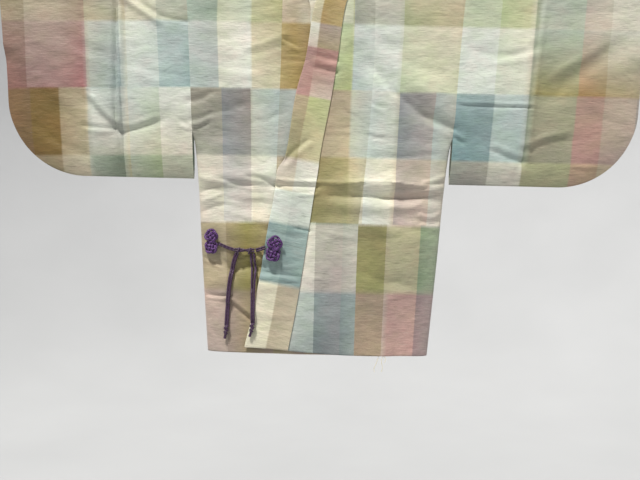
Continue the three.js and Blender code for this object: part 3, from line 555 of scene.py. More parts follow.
BRAID_PITCH = 7.5
BRAID_DEPTH = 0.07
BRAID_STRANDS = 4
CORD_SIDES = 20


def cord_tube(points, radius, closed=False, sides=CORD_SIDES):
    """A braided cord: a tube whose surface rises where strands of two hands cross it."""
    first, second = frames_along(points, closed)
    steps = np.linalg.norm(np.diff(points, axis=0), axis=1)
    along = np.concatenate([[0], np.cumsum(steps)])[: len(points)]
    angle = 2 * np.pi * np.arange(sides) / sides
    twist = 2 * np.pi * along[:, None] / BRAID_PITCH
    right_hand = np.cos(BRAID_STRANDS * angle[None, :] + twist)
    left_hand = np.cos(BRAID_STRANDS * angle[None, :] - twist)
    swell = 1 - BRAID_DEPTH + BRAID_DEPTH * np.maximum(right_hand, left_hand)
    cosine, sine = np.cos(angle)[None, :, None], np.sin(angle)[None, :, None]
    ring = first[:, None] * cosine + second[:, None] * sine
    rings = points[:, None] + ring * (radius * swell)[:, :, None]
    uv_along = np.repeat(along[:, None] * MM, sides, axis=1)
    uv_round = np.repeat(angle[None, :] / (2 * np.pi), len(points), axis=0)
    count = len(points)
    turns = count if closed else count - 1
    i, j = np.meshgrid(np.arange(turns), np.arange(sides), indexing="ij")
    i2, j2 = (i + 1) % count, (j + 1) % sides
    corners = [i * sides + j, i * sides + j2, i2 * sides + j2, i2 * sides + j]
    faces = np.stack(corners, axis=-1).reshape(-1, 4)
    verts = rings.reshape(-1, 3)
    uv = np.stack([uv_along, uv_round], axis=-1).reshape(-1, 2)
    if not closed:
        verts, faces, uv = rounded_ends(verts, faces, uv, points, radius, sides)
    return verts, faces, uv


def rounded_ends(verts, faces, uv, points, radius, sides):
    """Closes both ends of a tube with a low dome of two smaller rings. Both domes are wound
    the same way, so the faces of the far one point in."""
    ends = ((points[0], 0, points[1]), (points[-1], len(verts) - sides, points[-2]))
    for end, ring_start, inner in ends:
        away = unit(end - inner)
        ring = verts[ring_start : ring_start + sides]
        last = ring_start + np.arange(sides)
        last_uv = uv[ring_start : ring_start + sides]
        for part, lift in ((0.72, 0.3), (0.3, 0.48)):
            new = end + (ring - end) * part + away * radius * lift
            start = len(verts)
            verts = np.vstack([verts, new])
            uv = np.vstack([uv, last_uv])
            now = start + np.arange(sides)
            corners = [now, np.roll(now, -1), np.roll(last, -1), last]
            faces = np.vstack([faces, np.stack(corners, axis=-1)])
            last = now
        centre = np.full(sides // 2, len(verts))
        verts = np.vstack([verts, end + away * radius * 0.5])
        uv = np.vstack([uv, last_uv[:1]])
        fan = np.stack([centre, np.roll(last, -2)[0::2], last[1::2], last[0::2]], axis=-1)
        faces = np.vstack([faces, fan])
    return verts, faces, uv


def cord_material(name, deep, middle, bright):
    """Twisted silk: two hands of strands in three tones, painted shade where they part, a middle
    tone and a painted highlight on their crests, with worn patches and fibres.
    """
    shader = Shader(name)
    place = shader.object_place()
    at_length, at_round = shader.split(shader.cloth_uv())[:2]
    along = shader.math("MULTIPLY", at_length, 2 * math.pi / (BRAID_PITCH * MM))
    around = shader.math("MULTIPLY", at_round, BRAID_STRANDS * 2 * math.pi)
    one = shader.math("SINE", shader.math("ADD", around, along))
    other = shader.math("SINE", shader.math("SUBTRACT", around, along))
    strands = shader.math("MAXIMUM", one, other)
    fibres = shader.noise(place, 900, detail=2)
    patches = shader.noise(place, 55, detail=3)
    # painted shade and painted highlight: the strands' rise picks the deep tone for the crevices
    # and the bright tone for the crests
    painted_braid_tones = [(0.0, linear(deep)), (0.55, linear(middle)), (1.0, linear(bright))]
    shade = shader.ramp(strands, painted_braid_tones)
    worn = shader.blend(shader.math("MULTIPLY", patches, 0.35), shade, linear(bright))
    height = shader.math("MULTIPLY_ADD", fibres, 0.7, shader.math("MULTIPLY", strands, 0.6))
    sheen = dict(Sheen_Weight=0.25, Sheen_Roughness=0.4)
    return shader.finish(worn, shader.bump(height, 0.0004), Roughness=0.5, **sheen)


# The deep and bright tones of each cord are painted shade and a painted highlight
violet_cord = cord_material("silk_cord_violet", (32, 12, 48), (66, 30, 92), (108, 60, 132))
plum_cord = cord_material("silk_cord_plum", (22, 8, 26), (46, 20, 52), (80, 46, 84))

# name, thickness as part of CORD_DIAMETER, route in x and z
TIES = [
    ("tie_right", 0.74, [(-199.5, -738.5), (-181, -746), (-166.2, -750.5)]),
    ("tie_left", 0.92, [(-124.4, -750), (-117, -748), (-106, -743.5)]),
]
TAIL_RIGHT = [(-161.5, -756.4), (-166.5, -770), (-172, -798), (-176.5, -839), (-178.6, -898.4)]
TAIL_LEFT_INNER = [
    (-128.7, -756.4), (-126, -775), (-124.5, -792), (-125.5, -839), (-125, -872), (-124.7, -892),
]
TAIL_LEFT_OUTER = [
    (-134.4, -756.4), (-132.8, -775), (-131.4, -792), (-130.1, -839), (-129.3, -872), (-129, -892),
]
CORD_STEP = 1.1
# Half the height of the patch of cloth that carries a cord, and the points its depth is
# averaged over
CORD_PATCH = 5.5
CORD_EASING = 9


def lying_cord(route, aside, diameter=CORD_DIAMETER):
    """A cord's centre line on the front along a route seen from the front."""
    flat = np.array([(x, 0, z) for x, z in route])
    length = np.linalg.norm(np.diff(flat, axis=0), axis=1).sum()
    points = resample(flat, max(6, round(length / CORD_STEP)))
    tangent = unit(np.gradient(points, axis=0))
    points[:, 0] += aside * tangent[:, 2]
    points[:, 2] -= aside * tangent[:, 0]
    radius = diameter / 2
    under = [front_under(x, z, radius, CORD_PATCH) for x, _, z in points]
    padded = np.pad(under, CORD_EASING // 2, mode="edge")
    eased = np.convolve(padded, np.ones(CORD_EASING) / CORD_EASING, mode="valid")
    points[:, 1] = np.minimum(eased, under) - radius - CORD_CLEARANCE
    return points


def add_cords(name, cords, material=plum_cord):
    """One object of cords, each given by its line, its radius and whether it is a ring."""
    verts, faces, uvs, base = [], [], [], 0
    for points, radius, closed in cords:
        v, f, uv = cord_tube(points, radius, closed)
        verts.append(v)
        faces.append(f + base)
        uvs.append(uv)
        base += len(v)
    mesh = new_mesh(name, np.vstack(verts), np.vstack(faces), np.vstack(uvs))
    return add_object(name, mesh, material)


TAILS = [
    ("tail_right_a", TAIL_RIGHT, TWIN_PITCH / 2),
    ("tail_right_b", TAIL_RIGHT, -TWIN_PITCH / 2),
    ("tail_left_inner", TAIL_LEFT_INNER, 0),
    ("tail_left_outer", TAIL_LEFT_OUTER, 0),
]
tails = {}
tail_paths = {}
for name, route, aside in TAILS:
    tail_paths[name] = lying_cord(route, aside)
    tails[name] = add_cords("cord_" + name, [(tail_paths[name], CORD_DIAMETER / 2, False)])
    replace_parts(tails[name], name)

for name, scale, route in TIES:
    for end, aside in (("_a", TWIN_PITCH / 2), ("_b", -TWIN_PITCH / 2)):
        diameter = CORD_DIAMETER * scale
        points = lying_cord(route, aside * scale, diameter)
        tie = add_cords("cord_" + name + end, [(points, diameter / 2, False)])
        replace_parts(tie, name + end)

# x, z, wide, high, tilt about the line of sight, turn about the upright
ORNAMENTS = {
    "ornament_knot_right": (-213, -735, 29, 51, 0, -11),
    "ornament_knot_left": (-89, -746, 32, 53, 8, 0),
}
ORNAMENT_DEEP = 10.0
KNOT_CORD = 4.9


def turks_head(radius, cord, phase, depth):
    """One cord woven over and under itself three times round, with four bights."""
    t = np.linspace(0, 2 * np.pi, 210, endpoint=False)
    outer, inner = radius - cord / 2, cord * 0.62
    r = (outer + inner) / 2 + (outer - inner) / 2 * np.cos(4 * t)
    round_to = 3 * t + phase
    return np.stack([r * np.cos(round_to), -depth * np.sin(8 * t), r * np.sin(round_to)], axis=1)


def ornament(name, x, z, wide, high, tilt, turn):
    """Two woven knots, one above the other, lying on the cloth."""
    radius = wide / 2
    rise = high / 2 - radius
    depth = (ORNAMENT_DEEP - KNOT_CORD) / 2
    upright = Matrix.Rotation(math.radians(turn), 3, "Z")
    lean = upright @ Matrix.Rotation(math.radians(tilt), 3, "Y")
    y = front_under(x, z, wide / 12, high / 4) - CORD_CLEARANCE - ORNAMENT_DEEP / 2
    cords = []
    for side, phase in ((1, 90), (-1, 45)):
        knot = turks_head(radius, KNOT_CORD, math.radians(phase), depth)
        points = knot + (0, -0.6 * side, side * rise)
        cords.append((points @ np.array(lean).T + (x, y, z), KNOT_CORD / 2, True))
    made = add_cords("loops_" + name, cords, violet_cord)
    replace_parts(made, name)


for name, row in ORNAMENTS.items():
    ornament(name, *row)

WRAP_X, WRAP_Z = -146.0, -750.5
WRAP_HALF = 18.0
WRAP_CORD = 2.1
TURN_CORD = 1.9


def wrap():
    """The two ties meet: a pair of cords runs across, and a turn binds each end of it."""
    y = front_under(WRAP_X, WRAP_Z, WRAP_HALF + 1, 0) - CORD_CLEARANCE - 5.5
    half = WRAP_HALF
    cords = []
    for rise, fall in ((2.3, -0.9), (-2.3, 0.9)):
        line = [(-half, 0.6, rise), (-half * 0.4, 0, rise * 0.7), (0, fall, rise * 0.2),
                (half * 0.4, 0, -rise * 0.7), (half, 0.6, -rise)]
        cords.append((resample(line, 40) + (WRAP_X, y, WRAP_Z), WRAP_CORD, False))
    t = np.linspace(0, 2 * np.pi, 50, endpoint=False)
    for at in (-12.5, 9.5):
        turn = np.stack([at + 1.6 * np.cos(t), 3.2 * np.sin(t), -1.2 + 5.0 * np.cos(t)], axis=1)
        cords.append((turn + (WRAP_X, y, WRAP_Z), TURN_CORD, True))
    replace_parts(add_cords("tie_crossing", cords), "tie_wrap")


wrap()

# x, top, tip, lean
END_KNOTS = {
    "end_knot_right": (-178.6, -899, -924, -3),
    "end_knot_left": (-127.3, -892.5, -918, -5),
}
END_WIDE = 10.0
# of each turn: its place as part of the knot's height, its radius, its slant
END_TURNS = [(0.08, 3.0, 0.9), (0.24, 3.2, -1.1), (0.4, 3.0, 1.0), (0.56, 2.3, -0.7)]


def end_knot(name, x, top, tip, lean):
    """A knot of four close turns about a core that ends in a short tip."""
    high = top - tip
    y = front_under(x, top - high * 0.3, 0, high * 0.3) - CORD_CLEARANCE - END_WIDE / 2
    t = np.linspace(0, 2 * np.pi, 44, endpoint=False)
    cords = []
    for part, radius, slant in END_TURNS:
        ring = np.stack([radius * np.cos(t), radius * np.sin(t), slant * np.cos(t)], axis=1)
        cords.append((ring + (x + lean * part**2, y, top - high * part), TURN_CORD, True))
    core = [(x + lean * part**2, y, top - high * part) for part in (0.0, 0.25, 0.5, 0.75, 0.96)]
    cords.append((resample(core, 26), 2.6, False))
    made = add_cords("turns_" + name, cords)
    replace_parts(made, name)
    return made


end_knots = {name: end_knot(name, *row) for name, row in END_KNOTS.items()}


# start of each loose thread at the hem and the points it falls through, in x, y and z
THREADS = [
    [
        (118.6, -30.6, -944), (119.4, -34.4, -951), (115.8, -35.6, -963), (111.2, -33.8, -976),
        (112.6, -33.0, -982),
    ],
    [
        (126.8, -30.4, -944), (127.2, -34.2, -951), (125.4, -35.4, -961), (127.6, -34.6, -973),
        (126.2, -33.6, -981),
    ],
    [(129.4, -30.2, -945), (129.9, -33.8, -950.5), (133.6, -34.6, -956), (131.8, -34.2, -963)],
]


def grained(name, scale, stretch, dark, bright, low=0.3):
    """A material begun: its shader, a fine noise and a colour between two by that noise."""
    shader = Shader(name)
    noise = shader.noise(shader.object_place(), scale, stretch)
    return shader, noise, shader.ramp(noise, [(low, linear(dark)), (0.7, linear(bright))])


THREAD_TONES = (206, 190, 140), (236, 228, 196)
shader, twist, colour = grained("loose_thread", 700, (1, 1, 0.3), *THREAD_TONES, 0.35)
loose_thread = shader.finish(colour, shader.bump(twist, 0.0001), Roughness=0.7, Sheen_Weight=0.2)
for number, route in enumerate(THREADS, 1):
    name = "hem_thread_%d" % number
    verts, faces, uv = cord_tube(resample(route, 34), 0.42, sides=8)
    add_object(name, new_mesh(name, verts, faces, uv), loose_thread)


# ---------------------------------------------------------------- cloth pieces
SHARP_ANGLE = 62


def shell(name, middle, uv, wall, roll, fix_normal=None):
    """A closed thin shell about a grid of middle points. roll is how far each edge of the
    grid is rounded out: first row, last row, first column, last column."""
    rows, columns = middle.shape[:2]
    normal = unit(np.cross(np.gradient(middle, axis=0), np.gradient(middle, axis=1)))
    if fix_normal is not None:
        normal = unit(fix_normal(normal))
    ids = np.arange(rows * columns).reshape(rows, columns)
    out = np.zeros_like(middle)
    for amount, at, inner in (
        (roll[0], np.s_[0, :], np.s_[1, :]),
        (roll[1], np.s_[-1, :], np.s_[-2, :]),
        (roll[2], np.s_[:, 0], np.s_[:, 1]),
        (roll[3], np.s_[:, -1], np.s_[:, -2]),
    ):
        away = middle[at] - middle[inner]
        away /= np.maximum(np.linalg.norm(away, axis=1), 1e-9)[:, None]
        out[at] += away * amount
    loop = np.concatenate([ids[0, :], ids[1:, -1], ids[-1, -2::-1], ids[-2:0:-1, 0]])
    flat = middle.reshape(-1, 3)
    half = normal.reshape(-1, 3) * wall / 2
    ridge = flat[loop] + out.reshape(-1, 3)[loop]
    count = rows * columns
    points = np.vstack([flat + half, flat - half, ridge])
    a, b, c, d = ids[:-1, :-1], ids[1:, :-1], ids[1:, 1:], ids[:-1, 1:]
    top = np.stack([a, b, c, d], axis=-1).reshape(-1, 4)
    ridge_ids = 2 * count + np.arange(len(loop))
    after, ridge_after = np.roll(loop, -1), np.roll(ridge_ids, -1)
    upper = np.stack([loop, after, ridge_after, ridge_ids], axis=-1)
    lower = np.stack([ridge_ids, ridge_after, after + count, loop + count], axis=-1)
    faces = np.vstack([top, top[:, ::-1] + count, upper, lower])
    flat_uv = uv.reshape(-1, 2)
    uvs = np.vstack([flat_uv, flat_uv, flat_uv[loop]])
    return new_mesh(name, points, faces, uvs, sharp=SHARP_ANGLE)


def spaced(start, stop, pitch):
    """Places from start to stop, at steps as near to a pitch as they divide."""
    return np.linspace(start, stop, max(1, round(abs(stop - start) / pitch)) + 1)


def joined(*runs):
    """Runs of places made one, each starting where the last one ends."""
    return np.concatenate([runs[0], *[run[1:] for run in runs[1:]]])


FINE_PITCH = 2.9
WIDE_PITCH = 4.2
FINE_TOP = -556.0
front_heights = joined(
    spaced(HEM_Z, FINE_TOP, FINE_PITCH),
    spaced(FINE_TOP, FRONT_TOP, WIDE_PITCH),
)
back_heights = joined(
    spaced(-136.0, ATTACH_END, 5.0),
    spaced(ATTACH_END, -700.0, 3.8),
    spaced(-700.0, HEM_Z, 5.0),
)
SEAM_DITCH = 0.55
DITCH_BREADTH = 3.2
GRAIN_LEAN = 0.28 / 1000
GRAIN_START = -300.0


def ditch(distance):
    return -SEAM_DITCH * np.exp(-((distance / DITCH_BREADTH) ** 2))


def grain(x, z):
    """How far across the cloth a point of the body lies: the stripes close up to the hem."""
    return x * (1 + GRAIN_LEAN * np.maximum(0, GRAIN_START - z))


def neck_curve(first):
    """The neck edge and the collar's free edge as smooth curves over the shoulder."""
    knots = np.vstack([first, NECK])
    steps = np.hypot(np.diff(knots[:, 0]), np.diff(knots[:, 1]))
    length = np.concatenate([[0], np.cumsum(steps)])
    table = np.column_stack([length, knots])
    at = spaced(0, length[-1], 3.0)[1:]
    return [curve_at(table, k, at) for k in range(1, 6)]


def body_panel(side):
    lines = LEFT_LINES if side > 0 else RIGHT_LINES
    first = (over_of(FRONT_TOP, -1), LEFT_LINES[-1, OKUMI_LINE], 0, 0, 0)
    neck_over, neck_seam = neck_curve(first)[:2]
    over = np.concatenate([over_of(front_heights, -1), neck_over, over_of(back_heights, 1)])
    front_inner = side * curve_at(lines, OKUMI_LINE, front_heights)
    inner = np.concatenate([front_inner, neck_seam, np.zeros(len(back_heights))])
    z = height_of(over)
    outer = np.where(np.abs(over) <= QUARTER_BEND, BODY[-1, 1], curve_at(BODY, 1, z))
    s = np.linspace(0, 1, 70)
    part = 1 - (1 - s) ** 1.35
    x = side * (inner[:, None] + (outer - inner)[:, None] * part[None, :])
    spread = np.repeat(over[:, None], len(part), axis=1)
    on_front = spread < -QUARTER_BEND
    raised = spread
    if side > 0:
        height = height_of(spread)
        raised = np.where(on_front, over_of(height + hem_lift(x, height), -1), spread)
    from_inner = np.abs(x - side * inner[:, None])
    from_outer = np.abs(x - side * outer[:, None])
    sewn_out = smooth(SIDE_CLOSED - 10, ATTACH_END, height_of(spread))
    outward = ditch(from_inner) + ditch(from_outer) * sewn_out
    middle = body_points(x, raised, outward, lap=side > 0)
    closed = 1 - smooth(SIDE_CLOSED, ATTACH_END, middle[:, -1, 2])

    def fix(normal):
        at_side = np.zeros_like(normal[:, -1])
        at_side[:, 0] = np.sign(normal[:, -1, 0])
        normal[:, -1] = mix(normal[:, -1], at_side, closed[:, None])
        centre = inner < 1
        normal[centre, 0, 0] = 0
        return normal

    uv = np.stack([grain(x, height_of(spread)), spread], axis=-1) * MM
    return middle, uv, fix


def okumi(side):
    lines = LEFT_LINES if side > 0 else RIGHT_LINES
    z = front_heights[:, None]
    start = curve_at(lines, SEAM_LINE, front_heights)[:, None]
    stop = curve_at(lines, OKUMI_LINE, front_heights)[:, None]
    part = np.linspace(0, 1, 40)[None, :]
    x = mix(start, stop, part)
    height = z + (hem_lift(x, z) if side > 0 else 0 * x)
    outward = ditch(np.abs(x - start)) + ditch(np.abs(x - stop))
    middle = body_points(x, over_of(height, -1), outward, lap=side > 0)
    uv = np.stack([grain(x, z + 0 * x), over_of(z, -1) + 0 * x], axis=-1) * MM
    return middle, uv


BAND_COLUMNS = 26
COLLAR_SLANT = 0.16


def collar(side):
    """The collar band: one strip folded along its free edge, so that it lies double."""
    lines = LEFT_LINES if side > 0 else RIGHT_LINES
    z = front_heights[:, None]
    seam = curve_at(lines, SEAM_LINE, front_heights)[:, None]
    free = curve_at(lines, FREE_LINE, front_heights)[:, None]
    rise = curve_at(lines, RISE, front_heights)[:, None]
    part = np.linspace(0, 1, BAND_COLUMNS)[None, :]
    x = mix(seam, free, part)
    height = z + rise * part + (hem_lift(x, z) if side > 0 else 0)
    front = body_points(x, over_of(height, -1), BAND_PROUD, lap=side > 0)
    top = front[-1, -1]
    first = (over_of(FRONT_TOP, -1), LEFT_LINES[-1, SEAM_LINE], side * top[0], top[1], top[2])
    over, seam_x, free_x, free_y, free_z = neck_curve(first)
    start = body_points(side * seam_x, over, BAND_PROUD, lap=side > 0)
    end = np.stack([side * free_x, free_y, free_z], axis=-1)
    crown = mix(start[:, None], end[:, None], part[:, :, None])
    band = np.concatenate([front, crown])
    normal = unit(np.cross(np.gradient(band, axis=0), np.gradient(band, axis=1)))
    if side < 0:
        normal = -normal
    normal[-1, :, 0] = 0
    apart = (BAND_WALL - LAYER_WALL) / 2
    away = unit(band[:, -1] - band[:, -2])
    body = band.copy()
    body[:, -1] -= away * (apart + LAYER_WALL / 2) * 0.9
    face = body + normal * apart
    back = body - normal * apart
    fold = []
    for angle in np.radians((40, 90, 140)):
        turned = normal[:, -1] * math.cos(angle) + away * math.sin(angle)
        fold.append((body[:, -1] + turned * apart)[:, None])
    middle = np.concatenate([face, *fold, back[:, ::-1]], axis=1)
    width = np.linalg.norm(band[:, -1] - band[:, 0], axis=1)
    reach = part * width[:, None]
    past = width[:, None] + np.array([[0.7, 1.6, 2.5]])
    u = np.concatenate([reach, past, 2 * width[:, None] + 3.2 - reach[:, ::-1]], axis=1)
    half_way = (x[:, :1] + x[:, -1:]) / 2
    on_front = z + side * COLLAR_SLANT * (x - half_way)
    steps = np.linalg.norm(np.diff(band[:, BAND_COLUMNS // 2], axis=0), axis=1)
    beyond = np.cumsum(steps)[len(front_heights) - 1 :]
    beyond = FRONT_TOP + (beyond - np.cumsum(steps)[len(front_heights) - 2])
    v = np.concatenate([on_front, np.repeat(beyond[:, None], BAND_COLUMNS, axis=1)])
    v = np.concatenate([v, np.repeat(v[:, -1:], 3, axis=1), v[:, ::-1]], axis=1)
    return middle, np.stack([u, v], axis=-1) * MM


def sleeve_inner(z):
    return np.where(z >= ATTACH_END, curve_at(BODY, 1, z), curve_at(SLEEVE, 1, z))


def sleeve_width(z):
    return mix(SLEEVE_WIDTH_TOP, SLEEVE_WIDTH_LOW, smooth(SHOULDER_TOP, CORNER_Z, z))


def sleeve_half_depth(x, z, side, face):
    outer = sleeve_inner(z) + sleeve_width(z)
    centre = outer - SLEEVE_CORNER
    reach = side * x
    round_corner = SLEEVE_CORNER - np.hypot(reach - centre, z - CORNER_Z)
    straight = np.minimum(outer - reach, z - SLEEVE_BOTTOM)
    inside = np.where((reach > centre) & (z < CORNER_Z), round_corner, straight)
    ease = np.where(inside < BAG_SLOPE, 1 - (1 - inside / BAG_SLOPE) ** 2, 1)
    fill = mix(ease, 1, smooth(MOUTH_END - MOUTH_BLEND, MOUTH_END, z))
    part = (reach - sleeve_inner(z)) / sleeve_width(z)
    at_seam = mix(BEND, EDGE_HALF_DEPTH, smooth(*EDGE_FADE, z))
    deep = mix(at_seam, curve_at(SLEEVE, 2, z), smooth(0, 0.25, part))
    return BAG_EDGE + (deep + all_folds(x, z, face) - BAG_EDGE) * fill


# How far a sleeve's stripes lean for each height below GRAIN_START, and how far the bands
# of the wearer's right sleeve drop towards its tip
SLEEVE_GRAIN_LEAN = 0.07
WEFT_DROP = 0.028


def sleeve(side):
    straight = (SLEEVE_WIDTH_LOW - SLEEVE_CORNER) / SLEEVE_WIDTH_LOW
    corner = np.linspace(0, math.pi / 2, 40)
    across = joined(np.linspace(0, straight, 58), straight + (1 - straight) * np.sin(corner))
    foot = joined(np.full(58, SLEEVE_BOTTOM), CORNER_Z - SLEEVE_CORNER * np.cos(corner))
    up = np.linspace(0, 1, 140)
    front_z = mix(foot[None, :], ROD_Z, up[:, None])
    back_z = mix(foot[None, :], ROD_Z, np.linspace(1, 0, 110)[:, None])
    turns = np.linspace(-QUARTER_BEND, QUARTER_BEND, 9)[1:-1]

    def column_x(z):
        return side * (sleeve_inner(z) + across[None, :] * sleeve_width(z))

    def sheet(z, face):
        x = column_x(z)
        apart = ditch(across[None, :] * sleeve_width(z)) * smooth(SIDE_CLOSED, ATTACH_END, z)
        return np.stack([x, face * (sleeve_half_depth(x, z, side, face) + apart), z], axis=-1)

    top_x = column_x(np.full((1, len(across)), SHOULDER_TOP))[0]
    bend = np.stack([body_points(top_x, np.full(len(top_x), turn)) for turn in turns])
    middle = np.concatenate([sheet(front_z, -1), bend, sheet(back_z, 1)])
    over_bend = np.repeat(turns[:, None], len(across), axis=1)
    over = np.concatenate([over_of(front_z, -1), over_bend, over_of(back_z, 1)])
    hang = np.minimum(height_of(over), ROD_Z)
    u = side * middle[:, :, 0] + SLEEVE_GRAIN_LEAN * (GRAIN_START - hang)
    if side < 0:
        over = over - np.sign(over) * WEFT_DROP * across[None, :] * SLEEVE_WIDTH_LOW
    return middle, np.stack([u, over], axis=-1) * MM


# ---------------------------------------------------------------- cloth material
PALETTE = {
    "white": (229, 227, 216),
    "cream": (219, 211, 187),
    "sand": (198, 186, 148),
    "beige": (184, 171, 148),
    "tan": (160, 141, 108),
    "ochre": (174, 144, 80),
    "bronze": (122, 98, 52),
    "olive": (148, 138, 82),
    "moss": (124, 130, 78),
    "leaf": (132, 146, 84),
    "fern": (104, 116, 64),
    "lime": (180, 186, 130),
    "sage": (124, 140, 108),
    "mint": (188, 200, 172),
    "mist": (208, 215, 208),
    "sky": (164, 182, 182),
    "teal": (114, 146, 150),
    "slate": (112, 120, 118),
    "steel": (134, 146, 147),
    "lavender": (152, 148, 152),
    "mauve": (166, 146, 136),
    "rose": (162, 108, 108),
    "blush": (204, 184, 172),
    "rust": (156, 114, 90),
    "brown": (124, 98, 80),
}
WEFT_SHARE = 0.52
SHARE_SPREAD = 0.24
# in metres: how far the dye creeps along each way, and the pitch of the threads
DYE_CREEP, DYE_SWAY = 0.0017, 0.0013
WARP_PITCH, WEFT_PITCH = 0.0009, 0.0011


STRIPE_EDGE = 0.0012


def stripes(table, low, high):
    """The stops of a colour ramp from rows of (start, colour there, colour at its end)."""
    ends = [row[0] for row in table[1:]] + [high]
    stops = []
    for (start, first, last), end in zip(table, ends):
        stops.append(((start - low) / (high - low), linear(PALETTE[first])))
        stops.append(((end - low) / (high - low) - STRIPE_EDGE, linear(PALETTE[last])))
    return [(min(1, max(0, at)), colour) for at, colour in stops]


def cloth_material(name, cloth, reach, length):
    """Slubbed silk in a shaded check, from a cloth's stripes and bands. reach and length
    are the ends of the places across and along that the tables cover, in millimetres."""
    shader = Shader(name)
    uv = shader.cloth_uv()
    across, along = shader.split(uv)[:2]

    def noise(stretch_across, stretch_along, detail=2, roughness=0.5):
        return shader.noise(uv, 1, (stretch_across, stretch_along, 1), detail, roughness)

    def tinted(below, factor, by):
        return shader.blend(factor, below, by, "MULTIPLY")

    # the dye has crept a little along the threads, so the edges aren't ruled lines
    creep = shader.math("MULTIPLY_ADD", noise(24, 900), 2 * DYE_CREEP, -DYE_CREEP)
    sway = shader.math("MULTIPLY_ADD", noise(700, 18), 2 * DYE_SWAY, -DYE_SWAY)
    u, v = shader.math("ADD", across, creep), shader.math("ADD", along, sway)

    def part_of(value, low, high):
        return shader.map_range(value, low * MM, high * MM)

    at_u, at_v = part_of(u, *reach), part_of(v, *length)
    warps = [shader.ramp(at_u, stripes(table, *reach)) for table in cloth["warp"]]
    wefts = [shader.ramp(at_v, stripes(table, *length)) for table in cloth["weft"]]
    warp_colour = warps[0]
    for table, change in zip(warps[1:], (UPPER_CHANGE, LOWER_CHANGE)):
        warp_colour = shader.blend(part_of(v, change + 1.5, change - 1.5), warp_colour, table)
    weft_colour = shader.blend(part_of(u, *cloth["weft_change"]), *wefts)
    streaks = noise(16, 620, 3, 0.6)
    least = cloth.get("share", WEFT_SHARE) - SHARE_SPREAD / 2
    share = shader.math("MULTIPLY_ADD", streaks, SHARE_SPREAD, least)
    colour = shader.blend(share, warp_colour, weft_colour)

    # broad light and dark, broad warm and cool, thread lines, then dark and pale slubs
    tone = [(0.3, [0.79, 0.82, 0.83, 1]), (0.7, [1.11, 1.10, 1.06, 1])]
    colour = tinted(colour, 1.0, shader.ramp(noise(7, 9, 3), tone))
    wash = [(0.34, [0.95, 0.99, 0.93, 1]), (0.52, grey(1.0)), (0.68, [1.05, 0.99, 1.0, 1])]
    colour = tinted(colour, 1.0, shader.ramp(noise(21, 26, 4, 0.6), wash))
    fine = noise(38, 1100)
    colour = tinted(colour, 1.0, shader.ramp(fine, [(0.3, grey(0.8)), (0.7, grey(1.1))]))
    slubs = noise(32, 520)
    colour = tinted(colour, 0.7, shader.ramp(slubs, [(0.30, grey(0.62)), (0.37, grey(1.0))]))
    pale = shader.ramp(noise(23, 430), [(0.66, grey(0.0)), (0.72, grey(1.0))])
    colour = shader.blend(shader.math("MULTIPLY", pale, 0.1), colour, linear((246, 242, 226)))

    waves = []
    for place, pitch in ((across, WARP_PITCH), (along, WEFT_PITCH)):
        waves.append(shader.math("SINE", shader.math("MULTIPLY", place, 2 * math.pi / pitch)))
    weave = shader.math("MULTIPLY", *waves)
    height = shader.math("MULTIPLY_ADD", slubs, 1.6, shader.math("MULTIPLY", weave, 0.25))
    height = shader.math("MULTIPLY_ADD", fine, 1.3, height)
    dented = shader.bump(noise(26, 44, 3, 0.55), 0.0032)
    return shader.finish(
        colour,
        shader.bump(height, 0.00018, normal=dented),
        Roughness=shader.map_range(streaks, 0.3, 0.7, 0.62, 0.5),
        Sheen_Weight=0.12,
        Sheen_Roughness=0.45,
        Specular_IOR_Level=0.35,
    )


# The weft's bands by their place along the cloth, in the same steps on every strip: the
# front hem comes first, the shoulder is at 0 and the back hem comes last.
BODY_V = (-850, 850)
BAND_STARTS = (-850, *range(-710, 743, 132))
LOWER_CHANGE, UPPER_CHANGE = -578, -314


def colours(pair):
    """The colours at a stripe's start and end, from a text such as cream>sand or cream."""
    first, _, last = pair.partition(">")
    return first, last or first


def stripe_table(text):
    """Stripes from a text of places in millimetres, each with its colours."""
    words = text.split()
    return [(int(place), *colours(pair)) for place, pair in zip(words[::2], words[1::2])]


def bands(text):
    """The bands along a strip, one colour or pair for each of BAND_STARTS."""
    return [(start, *colours(pair)) for start, pair in zip(BAND_STARTS, text.split())]


# warp: the stripes at the shoulder, at the hip and at the hem, each by its place across the
# cloth. weft: the bands beside the middle of the garment and those beyond weft_change.
RIGHT_BODY = dict(
    warp=(
        stripe_table("0 sand>cream  60 cream>tan  86 sand>cream  147 white>cream  215 steel>sky"),
        stripe_table("0 sand>cream  60 tan>sand  86 mist>cream  150 mauve>lavender  210 beige"),
        stripe_table("0 sand>cream  60 olive>tan  86 mauve>olive  160 olive>mauve  206 blush"),
    ),
    weft=(
        bands(
            "mauve olive cream>white steel>sky cream>sand lime>olive sand>cream mauve>beige "
            "teal>steel cream>sand sage>moss blush>mauve steel>slate"
        ),
        bands(
            "mauve olive white steel>slate mist>white mint>sage sand>cream mauve>beige "
            "slate>steel mist>white olive>sage rose>mauve slate>teal"
        ),
    ),
    weft_change=(145, 151),
)
LEFT_BODY = dict(
    warp=(
        stripe_table("0 sand  60 cream>mist  99 mist  157 mint>cream  226 cream"),
        stripe_table("0 tan  60 sand  90 mist>cream  158 lavender>blush  232 mist>cream"),
        stripe_table("0 tan  60 sand>cream  70 tan  146 blush  220 steel>mist"),
    ),
    weft=(
        bands(
            "mauve leaf>moss white>cream sky>mist mist>white beige>tan white>cream "
            "blush>mauve sky>steel lime>cream sage>olive mauve>blush steel>slate"
        ),
        bands(
            "rose leaf blush>beige steel mint>cream olive>beige cream>sand mauve>rose "
            "slate>sky cream>sand olive>moss blush>rose slate>steel"
        ),
    ),
    weft_change=(147, 158),
)
